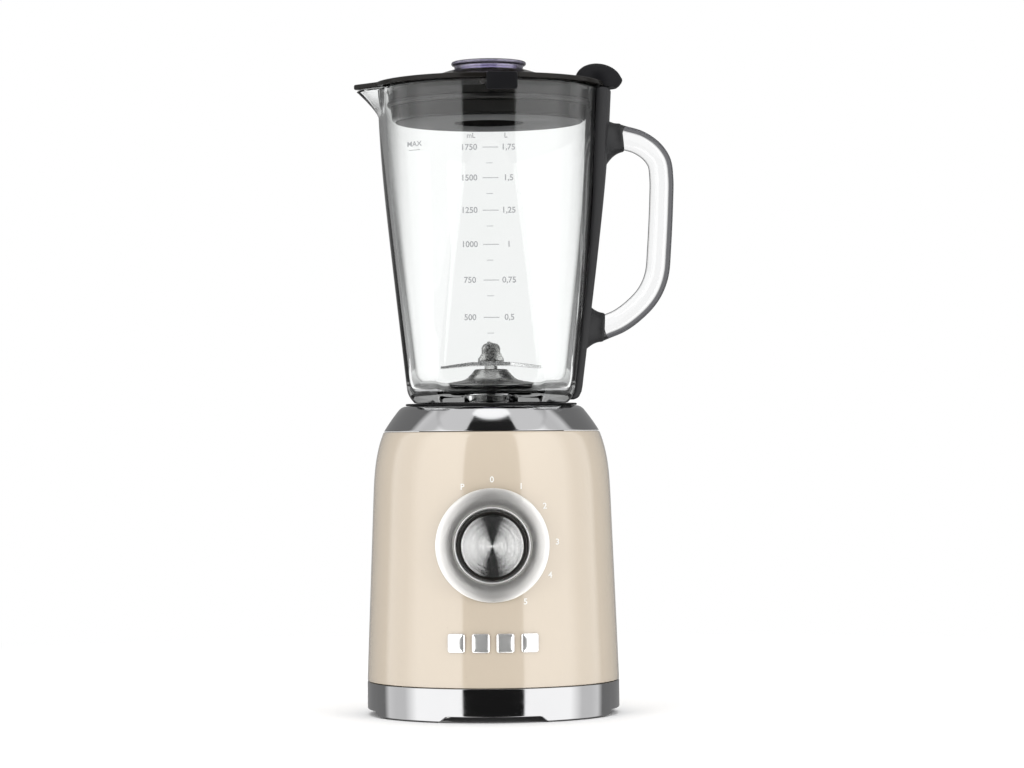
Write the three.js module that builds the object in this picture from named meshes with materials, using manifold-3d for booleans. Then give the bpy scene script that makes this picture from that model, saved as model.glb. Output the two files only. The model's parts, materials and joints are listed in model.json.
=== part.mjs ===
// Countertop blender: a round motor base with a rotary dial, a glass jug with a D handle, and a lid with a
// filler cap. Millimetres, +Z up. The drive axis is Z, with Z = 0 on the worktop. The dial faces -Y, the
// handle is on +X and the pouring spout on -X.
import * as THREE from 'three';
import { mergeVertices } from 'three/addons/utils/BufferGeometryUtils.js';
import Module from 'manifold-3d';

const wasm = await Module();
wasm.setup();

// Driving dimensions.
const gap = 0.3; // between neighbours that touch
const bandRadius = 78.2;
const bandBottom = 0.8; // underside of the foot band's lobes
const bandRecess = 3.8; // underside of the band between the lobes
const bandNotchAngle = THREE.MathUtils.degToRad(21); // half the width of each recess
const bandTop = 20.6;
const bandThickness = 1.3;
const shellWall = 2.4;
const shellTop = 175;
const plateBottom = 2;
const plateTop = 5;
const footCircle = 62; // radius of the circle that the four feet stand on, on the diagonals
const footAngle = Math.PI / 4;
const screwCircle = 66;
const screwAngle = footAngle + 0.32;
const plateRise = 1.6; // the plate's margin stands this much above its flat middle
const plateFlat = 54; // radius of that flat middle
const deckTop = 190.8;
const deckTopRadius = 55.5;
const deckHole = 45.5;
const wellFloor = 168;
const plungerOffset = 34; // the interlock plunger stands this far behind the drive axis
const plungerTravel = 4;
const starTop = 180; // top of the drive star that turns the blades
const dialHeight = 106.6;
const dialRadius = 34.4;
const dialInnerRadius = 23;
const knobRadius = 21;
const knobFront = -90;
const badgeHeight = 48;
const jugBottom = 192.6;
const jugFloor = 199;
const rimTop = 388;
const glassWall = 4.5;
const neckHole = 17; // hole in the glass floor for the blade holder
const spineHalfWidth = 21;
const gripRadius = 7.5;
const gripDepth = 6; // how far the grip's ends go into the spine's sockets
const lidUnderside = 388.6;
const lidRadius = 72;
const shaftRadius = 4;
const motorMiddle = 95; // middle height of the laminations
const stackHeight = 36;
const topStandoff = 18; // from the laminations to the middle of the upper bearing
const bottomStandoff = 31; // the lower one leaves room for the commutator

// How many flat faces stand for a full turn, on large, medium, small and tiny round pieces.
const large = 32;
const medium = 20;
const small = 12;
const tiny = 6;
const jugSides = 36;

const finish = (color, roughness, metalness, extra = {}) =>
  new THREE.MeshStandardMaterial({ color, roughness, metalness, ...extra });
const enamel = finish(0xe0d4bf, 0.25, 0);
const chrome = finish(0xdedede, 0.08, 1);
const steel = finish(0xb8b8b6, 0.3, 1);
const castAluminium = finish(0xa4a6a8, 0.5, 1);
const blackPlastic = finish(0x232325, 0.55, 0);
const glossBlack = finish(0x1c1a1a, 0.15, 0);
const rubber = finish(0x1a1a1b, 0.9, 0);
const copper = finish(0xb4683a, 0.35, 1);
const laminations = finish(0x6f7072, 0.55, 1);
const brass = finish(0xb5924c, 0.35, 1);
const carbon = finish(0x303032, 0.8, 0);
const boardGreen = finish(0x2e6b45, 0.5, 0);
const silicone = finish(0xc9ccd0, 0.6, 0);
const clearGlass = finish(0xdfe8e4, 0.03, 0, { transparent: true, opacity: 0.3 });
const smokyPlastic = finish(0x4a4468, 0.1, 0, { transparent: true, opacity: 0.6 });

const assembly = new THREE.Group();

// Adds one named sub-part to a group.
function place(name, geometry, material, parent = assembly) {
  const mesh = new THREE.Mesh(geometry, material);
  mesh.name = name;
  parent.add(mesh);
  return mesh;
}

// A closed geometry with merged corners, no flattened triangles, and its faces pointing out.
function tidy(geometry) {
  const bare = new THREE.BufferGeometry();
  bare.setAttribute('position', geometry.getAttribute('position'));
  if (geometry.index) bare.setIndex(geometry.index);
  const merged = mergeVertices(bare, 1e-3);
  const position = merged.getAttribute('position');
  const kept = [];
  let volume = 0;
  const [a, b, c] = [new THREE.Vector3(), new THREE.Vector3(), new THREE.Vector3()];
  for (let i = 0; i < merged.index.count; i += 3) {
    const corners = [0, 1, 2].map((k) => merged.index.getX(i + k));
    if (new Set(corners).size < 3) continue;
    kept.push(corners);
    a.fromBufferAttribute(position, corners[0]);
    b.fromBufferAttribute(position, corners[1]);
    c.fromBufferAttribute(position, corners[2]);
    volume += a.dot(b.cross(c));
  }
  merged.setIndex(kept.flatMap((corners) => (volume < 0 ? corners.reverse() : corners)));
  merged.computeVertexNormals();
  return merged;
}

function toManifold(geometry) {
  const closed = tidy(geometry);
  const mesh = new wasm.Mesh({
    numProp: 3,
    vertProperties: closed.getAttribute('position').array,
    triVerts: new Uint32Array(closed.index.array),
  });
  return new wasm.Manifold(mesh);
}

function fromManifold(solid) {
  const mesh = solid.getMesh();
  const geometry = new THREE.BufferGeometry();
  geometry.setAttribute('position', new THREE.BufferAttribute(mesh.vertProperties, 3));
  geometry.setIndex(new THREE.BufferAttribute(mesh.triVerts, 1));
  geometry.computeVertexNormals();
  return geometry;
}

// Joins the added geometries to the first one, then cuts the others out of it.
function build(added, cut = []) {
  const joined = added.map(toManifold).reduce((whole, piece) => whole.add(piece));
  return fromManifold(cut.map(toManifold).reduce((whole, tool) => whole.subtract(tool), joined));
}

// A turned piece about Z. Each point is [radius, height]; a profile off the axis closes on itself.
function turned(points, segments = medium) {
  const profile = points.map(([r, z]) => new THREE.Vector2(r, z));
  const onAxis = points[0][0] === 0 && points[points.length - 1][0] === 0;
  if (!onAxis) profile.push(profile[0].clone());
  return tidy(new THREE.LatheGeometry(profile, segments).rotateX(Math.PI / 2));
}

// A ring about Z, or a disc when the inner radius is 0.
function ring(inner, outer, bottom, top, segments = medium) {
  return turned([[inner, bottom], [outer, bottom], [outer, top], [inner, top]], segments);
}

const moved = (geometry, x, y, z) => geometry.clone().translate(x, y, z);
const box = (x, y, z) => new THREE.BoxGeometry(x, y, z);

// Turns a piece built about Z so that its +Z points to -Y, towards the front.
const facingFront = (geometry) => geometry.clone().rotateX(Math.PI / 2);

// Copies of a geometry spaced evenly round Z.
function around(geometry, count, first = 0) {
  const turn = (2 * Math.PI) / count;
  return Array.from({ length: count }, (_, i) => geometry.clone().rotateZ(first + i * turn));
}

// An outline in X and Y pushed up from one height to another.
function prism(shape, bottom, top, curveSegments = 12) {
  const options = { depth: top - bottom, bevelEnabled: false, curveSegments };
  return tidy(new THREE.ExtrudeGeometry(shape, options).translate(0, 0, bottom));
}

function roundedRectangle(width, height, radius, path = new THREE.Shape()) {
  const [x, y] = [width / 2, height / 2];
  path.moveTo(x, radius - y);
  path.absarc(x - radius, y - radius, radius, 0, Math.PI / 2);
  path.absarc(radius - x, y - radius, radius, Math.PI / 2, Math.PI);
  path.absarc(radius - x, radius - y, radius, Math.PI, 1.5 * Math.PI);
  path.absarc(x - radius, radius - y, radius, 1.5 * Math.PI, 2 * Math.PI);
  path.closePath();
  return path;
}

// ---------------------------------------------------------------- the housing

// The outside of the enamelled housing: a slight taper, then a rounded shoulder up to the deck.
const shellOutside = [
  [78.2, bandTop + gap],
  [76, 72],
  [73.9, 131],
  [72.3, 154],
  [70.2, 165],
  [67, shellTop],
];

function baseShell() {
  const skirt = bandRadius - bandThickness - gap;
  const inside = shellOutside.map(([r, z]) => [r - shellWall, z]).reverse();
  inside[0] = [63.5, shellTop];
  const profile = [
    [skirt - shellWall, plateTop + gap],
    [skirt, plateTop + gap],
    [skirt, bandTop + gap],
    ...shellOutside,
    ...inside.slice(0, -1),
    [skirt - shellWall, bandTop],
  ];
  const bosses = around(moved(box(15.5, 5, 24), 67.75, 0, plateTop + gap + 12), 4, screwAngle);
  const posts = around(moved(ring(0, 4.6, 0, 24, tiny), screwCircle, 0, plateTop + gap), 4, screwAngle);
  const inner = ring(0, 58, 0, 60, small);
  const pilots = around(moved(ring(0, 1.9, 0, 18, tiny), screwCircle, 0, 0), 4, screwAngle);
  const dialHole = moved(facingFront(ring(0, 15, 55, 90, small)), 0, 0, dialHeight);
  const glandHole = moved(facingFront(ring(0, 8.4, -90, -55, small)), 0, 0, 34);
  return build([turned(profile, large), ...bosses, ...posts], [inner, ...pilots, dialHole, glandHole]);
}

function topDeck() {
  return turned([
    [deckHole, deckTop],
    [53.6, deckTop],
    [deckTopRadius, 190.2],
    [57.3, 188.8],
    [66.9, shellTop + gap],
    [62, shellTop + gap],
    [54.5, 186.5],
    [deckHole, 187.8],
  ], large);
}

// The foot band stands on four lobes on the diagonals, with a shallow recess on each of the four sides.
function baseBand() {
  const inner = bandRadius - bandThickness;
  const hoop = turned([
    [inner, bandBottom],
    [bandRadius - 0.8, bandBottom],
    [bandRadius, bandBottom + 1],
    [bandRadius, bandTop],
    [inner, bandTop],
  ], large);
  const half = bandRadius * Math.sin(bandNotchAngle);
  const ramp = 5;
  const outline = new THREE.Shape();
  outline.moveTo(-half - ramp, 0);
  outline.lineTo(half + ramp, 0);
  outline.lineTo(half, bandRecess);
  outline.lineTo(-half, bandRecess);
  outline.closePath();
  const cutter = prism(outline, 60, 90).rotateX(Math.PI / 2);
  return build([hoop], around(cutter, 4));
}

function bottomPlate() {
  const rim = bandRadius - bandThickness - 2 * gap;
  const disc = turned([
    [0, plateBottom],
    [plateFlat, plateBottom],
    [plateFlat + 10, plateBottom + plateRise],
    [rim, plateBottom + plateRise],
    [rim, plateTop],
    [0, plateTop],
  ], large);
  const onFeet = (shape) => around(moved(shape, footCircle, 0, 0), 4, footAngle);
  const onScrews = (shape) => around(moved(shape, screwCircle, 0, 0), 4, screwAngle);
  const bosses = [
    ...onFeet(ring(0, 12.4, plateBottom, plateTop, medium)),
    ...onScrews(ring(0, 6.6, plateBottom, plateTop, small)),
  ];
  const holes = [
    ...onFeet(ring(0, 10.6, 0, plateBottom + 1.4, small)),
    ...onFeet(ring(0, 3.6, 0, 20, tiny)),
    ...onScrews(ring(0, 2.3, 0, 20, tiny)),
    ...onScrews(ring(0, 4.9, 0, plateBottom + 1.6, tiny)),
  ];
  const slots = [-30, -20, -10, 10, 20, 30].map((x) => moved(box(4, 60 - Math.abs(x), 20), x, 0, 5));
  return build([disc, ...bosses], [...holes, ...slots]);
}

function rubberFoot() {
  return turned([
    [0, 0],
    [9, 0],
    [10, 1],
    [10, plateBottom + 1.1],
    [3.1, plateBottom + 1.1],
    [3.1, plateTop + gap],
    [4.4, plateTop + gap],
    [3, plateTop + 3.5],
    [0, plateTop + 3.5],
  ], small);
}

// A pan-head screw pointing up, its head at the bottom.
function screw(head, shank, length, bottom, segments = 16) {
  return turned([
    [0, bottom],
    [head * 0.7, bottom],
    [head, bottom + 0.6],
    [head, bottom + 1.3],
    [shank, bottom + 1.3],
    [shank, bottom + length - 1.5],
    [0, bottom + length],
  ], segments);
}

// The rubber inlet for the mains lead at the back, with a shallow seat where the lead comes out.
function cordGland() {
  const bush = turned([
    [0, 66],
    [11, 66],
    [11, 71.5],
    [8, 72.5],
    [8, 78.6],
    [11.5, 78.6],
    [10.5, 81.6],
    [3.6, 81.6],
    [3.6, 78.6],
    [0, 78.6],
  ], small);
  return bush.rotateX(-Math.PI / 2).translate(0, 0, 34);
}

// ---------------------------------------------------------------- where the jug sits

// The black dish in the deck: a flat floor round the drive shaft and a wall up to the deck's hole.
function driveWell() {
  const dish = turned([
    [9, wellFloor - 2.5],
    [deckHole - 0.4, wellFloor - 2.5],
    [deckHole - 0.4, deckTop - 0.4],
    [deckHole - 2.6, deckTop - 0.4],
    [deckHole - 2.6, wellFloor],
    [9, wellFloor],
  ], large);
  return build([dish], [moved(ring(0, 3.4, 150, 190, small), 0, plungerOffset, 0)]);
}

function seatPad() {
  return turned([
    [deckHole + 0.5, deckTop + gap],
    [53, deckTop + gap],
    [53.4, deckTop + 0.9],
    [53, jugBottom - gap],
    [deckHole + 0.5, jugBottom - gap],
  ], large);
}

// The plunger that the seated jug pushes down, with a flange that keeps it in its hole.
function interlockPlunger() {
  const flangeTop = wellFloor - 2.5 - plungerTravel - gap;
  return turned([
    [0, flangeTop - 9],
    [2.4, flangeTop - 9],
    [2.4, flangeTop - 2],
    [4.6, flangeTop - 2],
    [4.6, flangeTop],
    [2.9, flangeTop],
    [2.9, wellFloor + 3.2],
    [2, wellFloor + 4],
    [0, wellFloor + 4],
  ], small).translate(0, plungerOffset, 0);
}

// The microswitch below the plunger.
function interlockSwitch() {
  const top = wellFloor - 2.5 - plungerTravel - 9 - 2 * gap;
  const tags = [-7, 0, 7].map((x) => moved(box(2.4, 1.2, 6), x, 0, top - 12));
  return build([moved(box(20, 7, 10), 0, 0, top - 5), ...tags]).translate(0, plungerOffset, 0);
}

// ---------------------------------------------------------------- the motor

function motorFieldCore() {
  const [bottom, top] = [motorMiddle - stackHeight / 2, motorMiddle + stackHeight / 2];
  const corners = [[-1, -1], [-1, 1], [1, -1], [1, 1]];
  const body = prism(roundedRectangle(84, 74, 14), bottom, top, 4);
  const bore = ring(0, 24, 40, 160, medium);
  const slots = corners.map(([side, end]) => moved(box(24, 7, 80), side * 20.5, end * 25, motorMiddle));
  const boltHoles = corners.map(([side, end]) => moved(ring(0, 2.4, 40, 160, tiny), side * 36, end * 30, 0));
  return build([body], [bore, ...slots, ...boltHoles]);
}

// One field coil: a rounded loop of wire wound round a pole, its legs in the core's slots.
function fieldCoil(side) {
  const loop = roundedRectangle(56, 58, 8);
  loop.holes.push(roundedRectangle(44, 44, 4, new THREE.Path()));
  const coil = prism(loop, -4.5, 4.5, 4);
  return coil.rotateX(Math.PI / 2).rotateZ(Math.PI / 2).translate(side * 27, 0, motorMiddle);
}

// An end bracket: a bridge that stands off the core on two legs, with a bearing cup in the middle.
function motorBracket(standoff, turn) {
  const foot = stackHeight / 2 + gap;
  const middle = foot + standoff;
  const bridge = moved(prism(roundedRectangle(22, 72, 6), -2.5, 2.5, 3), 0, 0, middle);
  const legs = [-1, 1].map((end) => moved(box(22, 6, standoff), 0, end * 32.5, foot + standoff / 2));
  const cup = ring(0, 14, middle - 6, middle + 6, small);
  const seat = ring(0, 11 + 2 * gap, middle - 3.8, middle + 3.8, small);
  const bore = ring(0, 8, 0, 80, small);
  return build([bridge, ...legs, cup], [seat, bore]).rotateX(turn).translate(0, 0, motorMiddle);
}

// A ball bearing seen as its two races and the shield between them.
function ballBearing(middle) {
  return turned([
    [shaftRadius + gap, -3.5],
    [6, -3.5],
    [6.4, -2.9],
    [8.8, -2.9],
    [9.2, -3.5],
    [11, -3.5],
    [11, 3.5],
    [9.2, 3.5],
    [8.8, 2.9],
    [6.4, 2.9],
    [6, 3.5],
    [shaftRadius + gap, 3.5],
  ], small).translate(0, 0, middle);
}

function motorShaft() {
  return turned([
    [0, 19],
    [3, 19],
    [shaftRadius, 20],
    [shaftRadius, wellFloor + 3],
    [3.4, wellFloor + 3.6],
    [3.4, wellFloor + 9],
    [0, wellFloor + 9],
  ], small);
}

// A slotted rotor outline: as many narrow-mouthed slots as the winding has bars.
const rotorSlots = 8;
function armatureCore() {
  const [bottom, top] = [motorMiddle - stackHeight / 2, motorMiddle + stackHeight / 2];
  const outer = ring(shaftRadius + gap, 23, bottom, top, medium);
  return build([outer], around(moved(box(8, 5.4, 80), 19.5, 0, motorMiddle), rotorSlots));
}

function armatureWinding() {
  const half = stackHeight / 2 + gap;
  const bundle = (near, far) => turned([
    [8, near],
    [20, near],
    [21.5, near + (far - near) * 0.35],
    [17, far],
    [8, far],
  ], medium);
  const bars = around(moved(box(4.6, 4.6, 2 * half + 2), 18.6, 0, 0), rotorSlots);
  return build([bundle(half, half + 9), bundle(-half, -half - 9), ...bars]).translate(0, 0, motorMiddle);
}

function commutator() {
  const drum = ring(shaftRadius + gap, 11, 0, 12, medium);
  const segments = around(moved(box(3, 0.8, 40), 11, 0, 5), 12);
  return build([drum], segments).translate(0, 0, motorMiddle - stackHeight / 2 - 22.6);
}

// A brush slides in its holder along X and presses on the commutator.
function brushHolder(side) {
  const tube = moved(box(19, 9, 11), 24.5, 0, 0);
  const channel = moved(box(40, 6.6, 8.6), 20, 0, 0);
  const lug = moved(box(7, 16, 3), 30, 0, -7);
  return build([tube, lug], [channel]).rotateZ(side < 0 ? Math.PI : 0).translate(0, 0, 60.2);
}

function carbonBrush(side) {
  return moved(box(18, 6, 8), side * 20.6, 0, 60.2);
}

// A fan under the motor: a disc with blades swept back along an arc.
function coolingFan() {
  const disc = ring(shaftRadius + gap, 34, 0, 1.6, medium);
  const hub = ring(shaftRadius + gap, 8, 0, 10, small);
  const outline = new THREE.Shape();
  outline.absarc(20, -12, 18, 0.25, 2.2);
  outline.absarc(20, -12, 16.6, 2.2, 0.25, true);
  outline.closePath();
  const blade = prism(outline, 1, 10, 4);
  const rim = ring(34, 90, -20, 40, medium);
  const bore = ring(0, shaftRadius + gap, -20, 40, small);
  return build([disc, hub, ...around(blade, 7)], [rim, bore]).translate(0, 0, 22);
}

// The outline shared by the drive star and its socket: round-ended splines.
function starOutline(inner, outer, path = new THREE.Shape()) {
  const splines = 6;
  const half = 0.22;
  for (let i = 0; i < splines; i += 1) {
    const angle = (i * 2 * Math.PI) / splines;
    path.absarc(0, 0, outer, angle - half, angle + half);
    path.absarc(0, 0, inner, angle + 1.7 * half, angle + (2 * Math.PI) / splines - 1.7 * half);
  }
  path.closePath();
  return path;
}

function driveCoupling() {
  const hub = ring(0, 8.4, wellFloor - 1.5, wellFloor + 2.6, small);
  const star = prism(starOutline(7.6, 11), wellFloor + 2.4, starTop, 3);
  const seat = ring(0, shaftRadius + gap, 160, wellFloor + 3.9, small);
  const tip = ring(0, 3.4 + gap, 160, wellFloor + 9.3, small);
  return build([hub, star], [seat, tip]);
}

// ---------------------------------------------------------------- the controls

// The dial's bezel: its back follows the round housing and its front is a shallow dish.
function dialBezel() {
  const front = 79.5;
  const body = turned([
    [13, 60],
    [dialRadius, 60],
    [dialRadius, front - 2.2],
    [dialRadius - 0.8, front - 1.5],
    [dialRadius - 3, front - 0.6],
    [dialRadius - 6.8, front],
    [dialInnerRadius + 1.6, front - 0.6],
    [dialInnerRadius, front - 1.6],
    [dialInnerRadius, front - 3.2],
    [13, front - 3.2],
  ], large);
  const face = moved(facingFront(body), 0, 0, dialHeight);
  const housing = turned([
    [0, 10],
    ...shellOutside.map(([r, z]) => [r + gap, z]),
    [0, shellTop],
  ], large);
  return build([face], [housing]);
}

function knobBody() {
  const front = -knobFront;
  const back = 76.8;
  return facingFront(turned([
    [0, back],
    [knobRadius - 1, back],
    [knobRadius, back + 1],
    [knobRadius, front - 1.4],
    [knobRadius - 0.9, front - 0.2],
    [knobRadius - 2, front - 0.2],
    [knobRadius - 2, front - 1.6],
    [0, front - 1.6],
  ], large));
}

// The raised line on the knob's rim that shows the setting.
function pointerRidge() {
  return moved(box(1.2, 10, 1.4), 0, knobFront + 6.4, knobRadius + 0.2);
}

function knobFace() {
  const front = -knobFront;
  return facingFront(turned([
    [0, front - 1.3],
    [knobRadius - 2.3, front - 1.3],
    [knobRadius - 2.3, front - 0.6],
    [knobRadius - 3, front - 0.3],
    [0, front - 0.7],
  ], large));
}

function knobSpindle() {
  return facingFront(turned([
    [0, 46],
    [3, 46],
    [3, 76.4],
    [0, 76.4],
  ], small));
}

// The rotary selector switch behind the dial.
function speedSwitch() {
  const can = facingFront(turned([
    [3 + gap, 47],
    [15, 47],
    [15, 60],
    [13, 62],
    [6, 62],
    [6, 66],
    [3 + gap, 66],
  ], small));
  const tags = around(box(3, 1, 8).translate(12, 0, 43), 5, 0.3).map(facingFront);
  const wafer = facingFront(ring(3 + gap, 15, 45, 49, small));
  return build([can, wafer, ...tags]).translate(0, 0, dialHeight);
}

function circuitBoard() {
  const board = box(50, 1.6, 60);
  const capacitor = moved(box(26, 12, 18), -8, -6.5, 16);
  const relay = moved(box(16, 14, 20), 10, -7.5, -12);
  const terminals = moved(box(22, 9, 9), -12, -5, -22);
  const choke = moved(ring(0, 7, -0.5, 12, small).rotateX(Math.PI / 2), 15, 0, 16);
  return build([board, capacitor, relay, terminals, choke]).translate(0, 60, 96);
}

// ---------------------------------------------------------------- the jug

// The jug's wall is a slender cone with four flats cut into it. The flats lean out faster than the cone, so
// each one narrows upwards and ends in a pointed arch.
const flatDistance = (z) => 52 + 0.1148 * (z - 204);
const coneRadius = (z) => 69 - 0.043 * (374 - z);
const footRounding = (z) => Math.max(0, 1 - (z - jugBottom) / 9) ** 2.2;
const spoutReach = 14.2;
const spoutHalfAngle = THREE.MathUtils.degToRad(15);

// The jug's outside radius at an angle from +X and a height.
function jugRadius(angle, z) {
  const flat = flatDistance(z) / Math.max(Math.abs(Math.cos(angle)), Math.abs(Math.sin(angle)));
  const body = Math.min(coneRadius(z), flat) - 4.2 * footRounding(z);
  const fromSpout = Math.abs(Math.PI - Math.abs(angle)) / spoutHalfAngle;
  const rise = THREE.MathUtils.clamp((z - 371) / (rimTop - 1 - 371), 0, 1);
  return body + spoutReach * rise ** 1.3 * Math.max(0, 1 - fromSpout);
}

// A skin swept round Z: each level is { z, offset } outside or inside the jug's radius.
function jugSkin(levels, segments) {
  const positions = [];
  const indices = [];
  levels.forEach(({ z, offset, radius }) => {
    for (let j = 0; j < segments; j += 1) {
      const angle = -Math.PI + (j * 2 * Math.PI) / segments;
      const r = radius ?? jugRadius(angle, z) + offset;
      positions.push(r * Math.cos(angle), r * Math.sin(angle), z);
    }
  });
  levels.forEach((_, i) => {
    const [low, high] = [i * segments, ((i + 1) % levels.length) * segments];
    for (let j = 0; j < segments; j += 1) {
      const next = (j + 1) % segments;
      indices.push(low + j, low + next, high + next, low + j, high + next, high + j);
    }
  });
  const geometry = new THREE.BufferGeometry();
  geometry.setAttribute('position', new THREE.Float32BufferAttribute(positions, 3));
  geometry.setIndex(indices);
  return tidy(geometry);
}

const outerLevels = [jugBottom, 195, 202, 260, 310, 345, 371, 379, rimTop - 0.8];

function glassJug() {
  const inside = [379, 371, 345, 310, 260, 204];
  return jugSkin([
    { z: jugBottom, radius: neckHole },
    ...outerLevels.map((z) => ({ z, offset: 0 })),
    { z: rimTop, offset: -1 },
    { z: rimTop, offset: 1 - glassWall },
    ...inside.map((z) => ({ z, offset: -glassWall })),
    { z: jugFloor, offset: -glassWall - 3.5 },
    { z: jugFloor - 0.6, radius: neckHole },
  ], jugSides);
}

// The spine hugs the jug's side wall. Its bosses flare out to hold the grip's two ends.
const gripTop = new THREE.Vector3(83.2, 0, 357.5);
const gripBottom = new THREE.Vector3(70.9, 0, 239.2);
const gripTopDirection = new THREE.Vector3(9.8, 0, -3).normalize();
const gripBottomDirection = new THREE.Vector3(9.1, 0, 3.8).normalize();

// A cone frustum between two points, wider at its foot.
function frustum(foot, footRadius, end, endRadius) {
  const axis = end.clone().sub(foot);
  const cone = new THREE.CylinderGeometry(endRadius, footRadius, axis.length(), medium);
  const upright = new THREE.Vector3(0, 1, 0);
  cone.applyQuaternion(new THREE.Quaternion().setFromUnitVectors(upright, axis.clone().normalize()));
  const middle = foot.clone().add(end).multiplyScalar(0.5);
  return tidy(cone.translate(middle.x, middle.y, middle.z));
}

function handleSpine() {
  const bottom = 194.5;
  const top = 387.4;
  const thickness = (z) => 4.6 + (2 * (z - bottom)) / (top - bottom);
  const levels = [...outerLevels, top + 5];
  const solidSkin = (offset) => jugSkin([
    { z: jugBottom, radius: 0 },
    ...levels.map((z) => ({ z, offset: offset(z) })),
    { z: top + 5, radius: 0 },
  ], jugSides);
  const strip = moved(box(80, 2 * spineHalfWidth, top - bottom), 70, 0, (top + bottom) / 2);
  const wrap = toManifold(solidSkin(thickness)).intersect(toManifold(strip));
  const upper = frustum(new THREE.Vector3(66, 0, 355.5), 19, gripTop, gripRadius + 1.5);
  const lower = frustum(new THREE.Vector3(54, 0, 240), 18, gripBottom, gripRadius + 1.5);
  return build([fromManifold(wrap), upper, lower], [solidSkin(() => gap), gripRod(gap)]);
}

// The grip is a round glass rod bent into a D.
function gripRod(clearance) {
  const start = gripTop.clone().addScaledVector(gripTopDirection, -gripDepth - clearance);
  const end = gripBottom.clone().addScaledVector(gripBottomDirection, -gripDepth - clearance);
  const points = [start, gripTop];
  const bends = [[93, 354.5], [101, 349], [105.8, 342], [107.2, 332], [107, 318], [105.4, 288], [104, 273],
    [101, 264], [96.3, 256.6], [88, 248.5], [80, 243]];
  bends.forEach(([x, z]) => points.push(new THREE.Vector3(x, 0, z)));
  points.push(gripBottom, end);
  const path = new THREE.CatmullRomCurve3(points, false, 'centripetal');
  const section = new THREE.Shape();
  section.absarc(0, 0, gripRadius + clearance, 0, 2 * Math.PI);
  const options = { steps: 30, extrudePath: path, curveSegments: 6 };
  return tidy(new THREE.ExtrudeGeometry(section, options));
}

// ---------------------------------------------------------------- the blade unit

// A dished steel flange inside the jug, with a threaded sleeve through the glass floor.
function bladeHolder() {
  return turned([
    [7.2, 184],
    [14, 184],
    [14, jugFloor + 1.6],
    [27, jugFloor + 1.6],
    [28, jugFloor + 2.2],
    [27, jugFloor + 3],
    [16, jugFloor + 6],
    [10, jugFloor + 15],
    [7.2, jugFloor + 15],
  ], medium);
}

function bladeGasket() {
  const [bottom, top] = [jugFloor + gap, jugFloor + 1.3];
  return turned([[14.4, bottom], [26, bottom], [26.4, bottom + 0.5], [26, top], [14.4, top]], medium);
}

// The collar screwed on below the glass. It centres the jug in the well.
function jugCollar() {
  const body = turned([
    [14.4, jugBottom - 7],
    [14.4, jugBottom - gap],
    [38, jugBottom - gap],
    [40, jugBottom - 2.3],
    [40, wellFloor + 5.7],
    [38.6, wellFloor + 4.3],
    [20, wellFloor + 4.3],
    [20, jugBottom - 7],
  ], large);
  const flutes = around(moved(ring(0, 3.4, 160, 189, tiny), 42.2, 0, 0), 12);
  return build([body], flutes);
}

function bearingBush() {
  return ring(shaftRadius + gap, 6.9, 188.5, jugFloor + 14.6, small);
}

function bladeShaft() {
  return turned([
    [0, starTop + 0.9],
    [3.6, starTop + 0.9],
    [3.6, starTop + 3.6],
    [shaftRadius, starTop + 4],
    [shaftRadius, jugFloor + 17],
    [3, jugFloor + 17],
    [3, jugFloor + 27],
    [0, jugFloor + 27],
  ], small);
}

// The socket on the blade shaft that drops over the drive star.
function jugCoupling() {
  const cup = ring(0, 13.4, wellFloor + 2.9, starTop + 3.2, medium);
  const socket = prism(starOutline(8.5, 11.9), 160, starTop + 0.6, 3);
  const bore = ring(0, 3.6 + gap, 160, 200, small);
  return build([cup], [socket, bore]);
}

// A two-armed blade: a flat middle, and two tapered wings sloping up or down from it.
function crossBlade(bottom, reach, slope, turn) {
  const thickness = 1.8;
  const fold = 12;
  const outline = new THREE.Shape();
  outline.moveTo(fold - 0.5, -8);
  outline.lineTo(reach, -2);
  outline.lineTo(reach, 3);
  outline.lineTo(fold - 0.5, 8);
  outline.closePath();
  const lean = new THREE.Matrix4().set(1, 0, 0, 0, 0, 1, 0, 0, slope, 0, 1, -fold * slope, 0, 0, 0, 1);
  const wing = prism(outline, 0, thickness).applyMatrix4(lean);
  const middle = moved(box(2 * fold, 16, thickness), 0, 0, thickness / 2);
  const bore = ring(0, 3 + gap, -10, 20, small);
  return build([middle, ...around(wing, 2)], [bore]).rotateZ(turn).translate(0, 0, bottom);
}

function bladeNut() {
  return turned([
    [0, jugFloor + 31],
    [3.5, jugFloor + 30],
    [5.4, jugFloor + 27.6],
    [5.8, jugFloor + 21.8],
    [3 + gap, jugFloor + 21.8],
    [3 + gap, jugFloor + 27.3],
    [0, jugFloor + 27.3],
  ], small);
}

// ---------------------------------------------------------------- the lid

// The lid's rim, with a point over the spout.
function lidRim() {
  const outline = new THREE.Shape();
  const open = THREE.MathUtils.degToRad(14);
  outline.absarc(0, 0, lidRadius, -Math.PI + open, Math.PI - open);
  outline.lineTo(-84, 2);
  outline.lineTo(-84, -2);
  outline.closePath();
  return prism(outline, lidUnderside, lidUnderside + 2.9, large);
}

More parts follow.
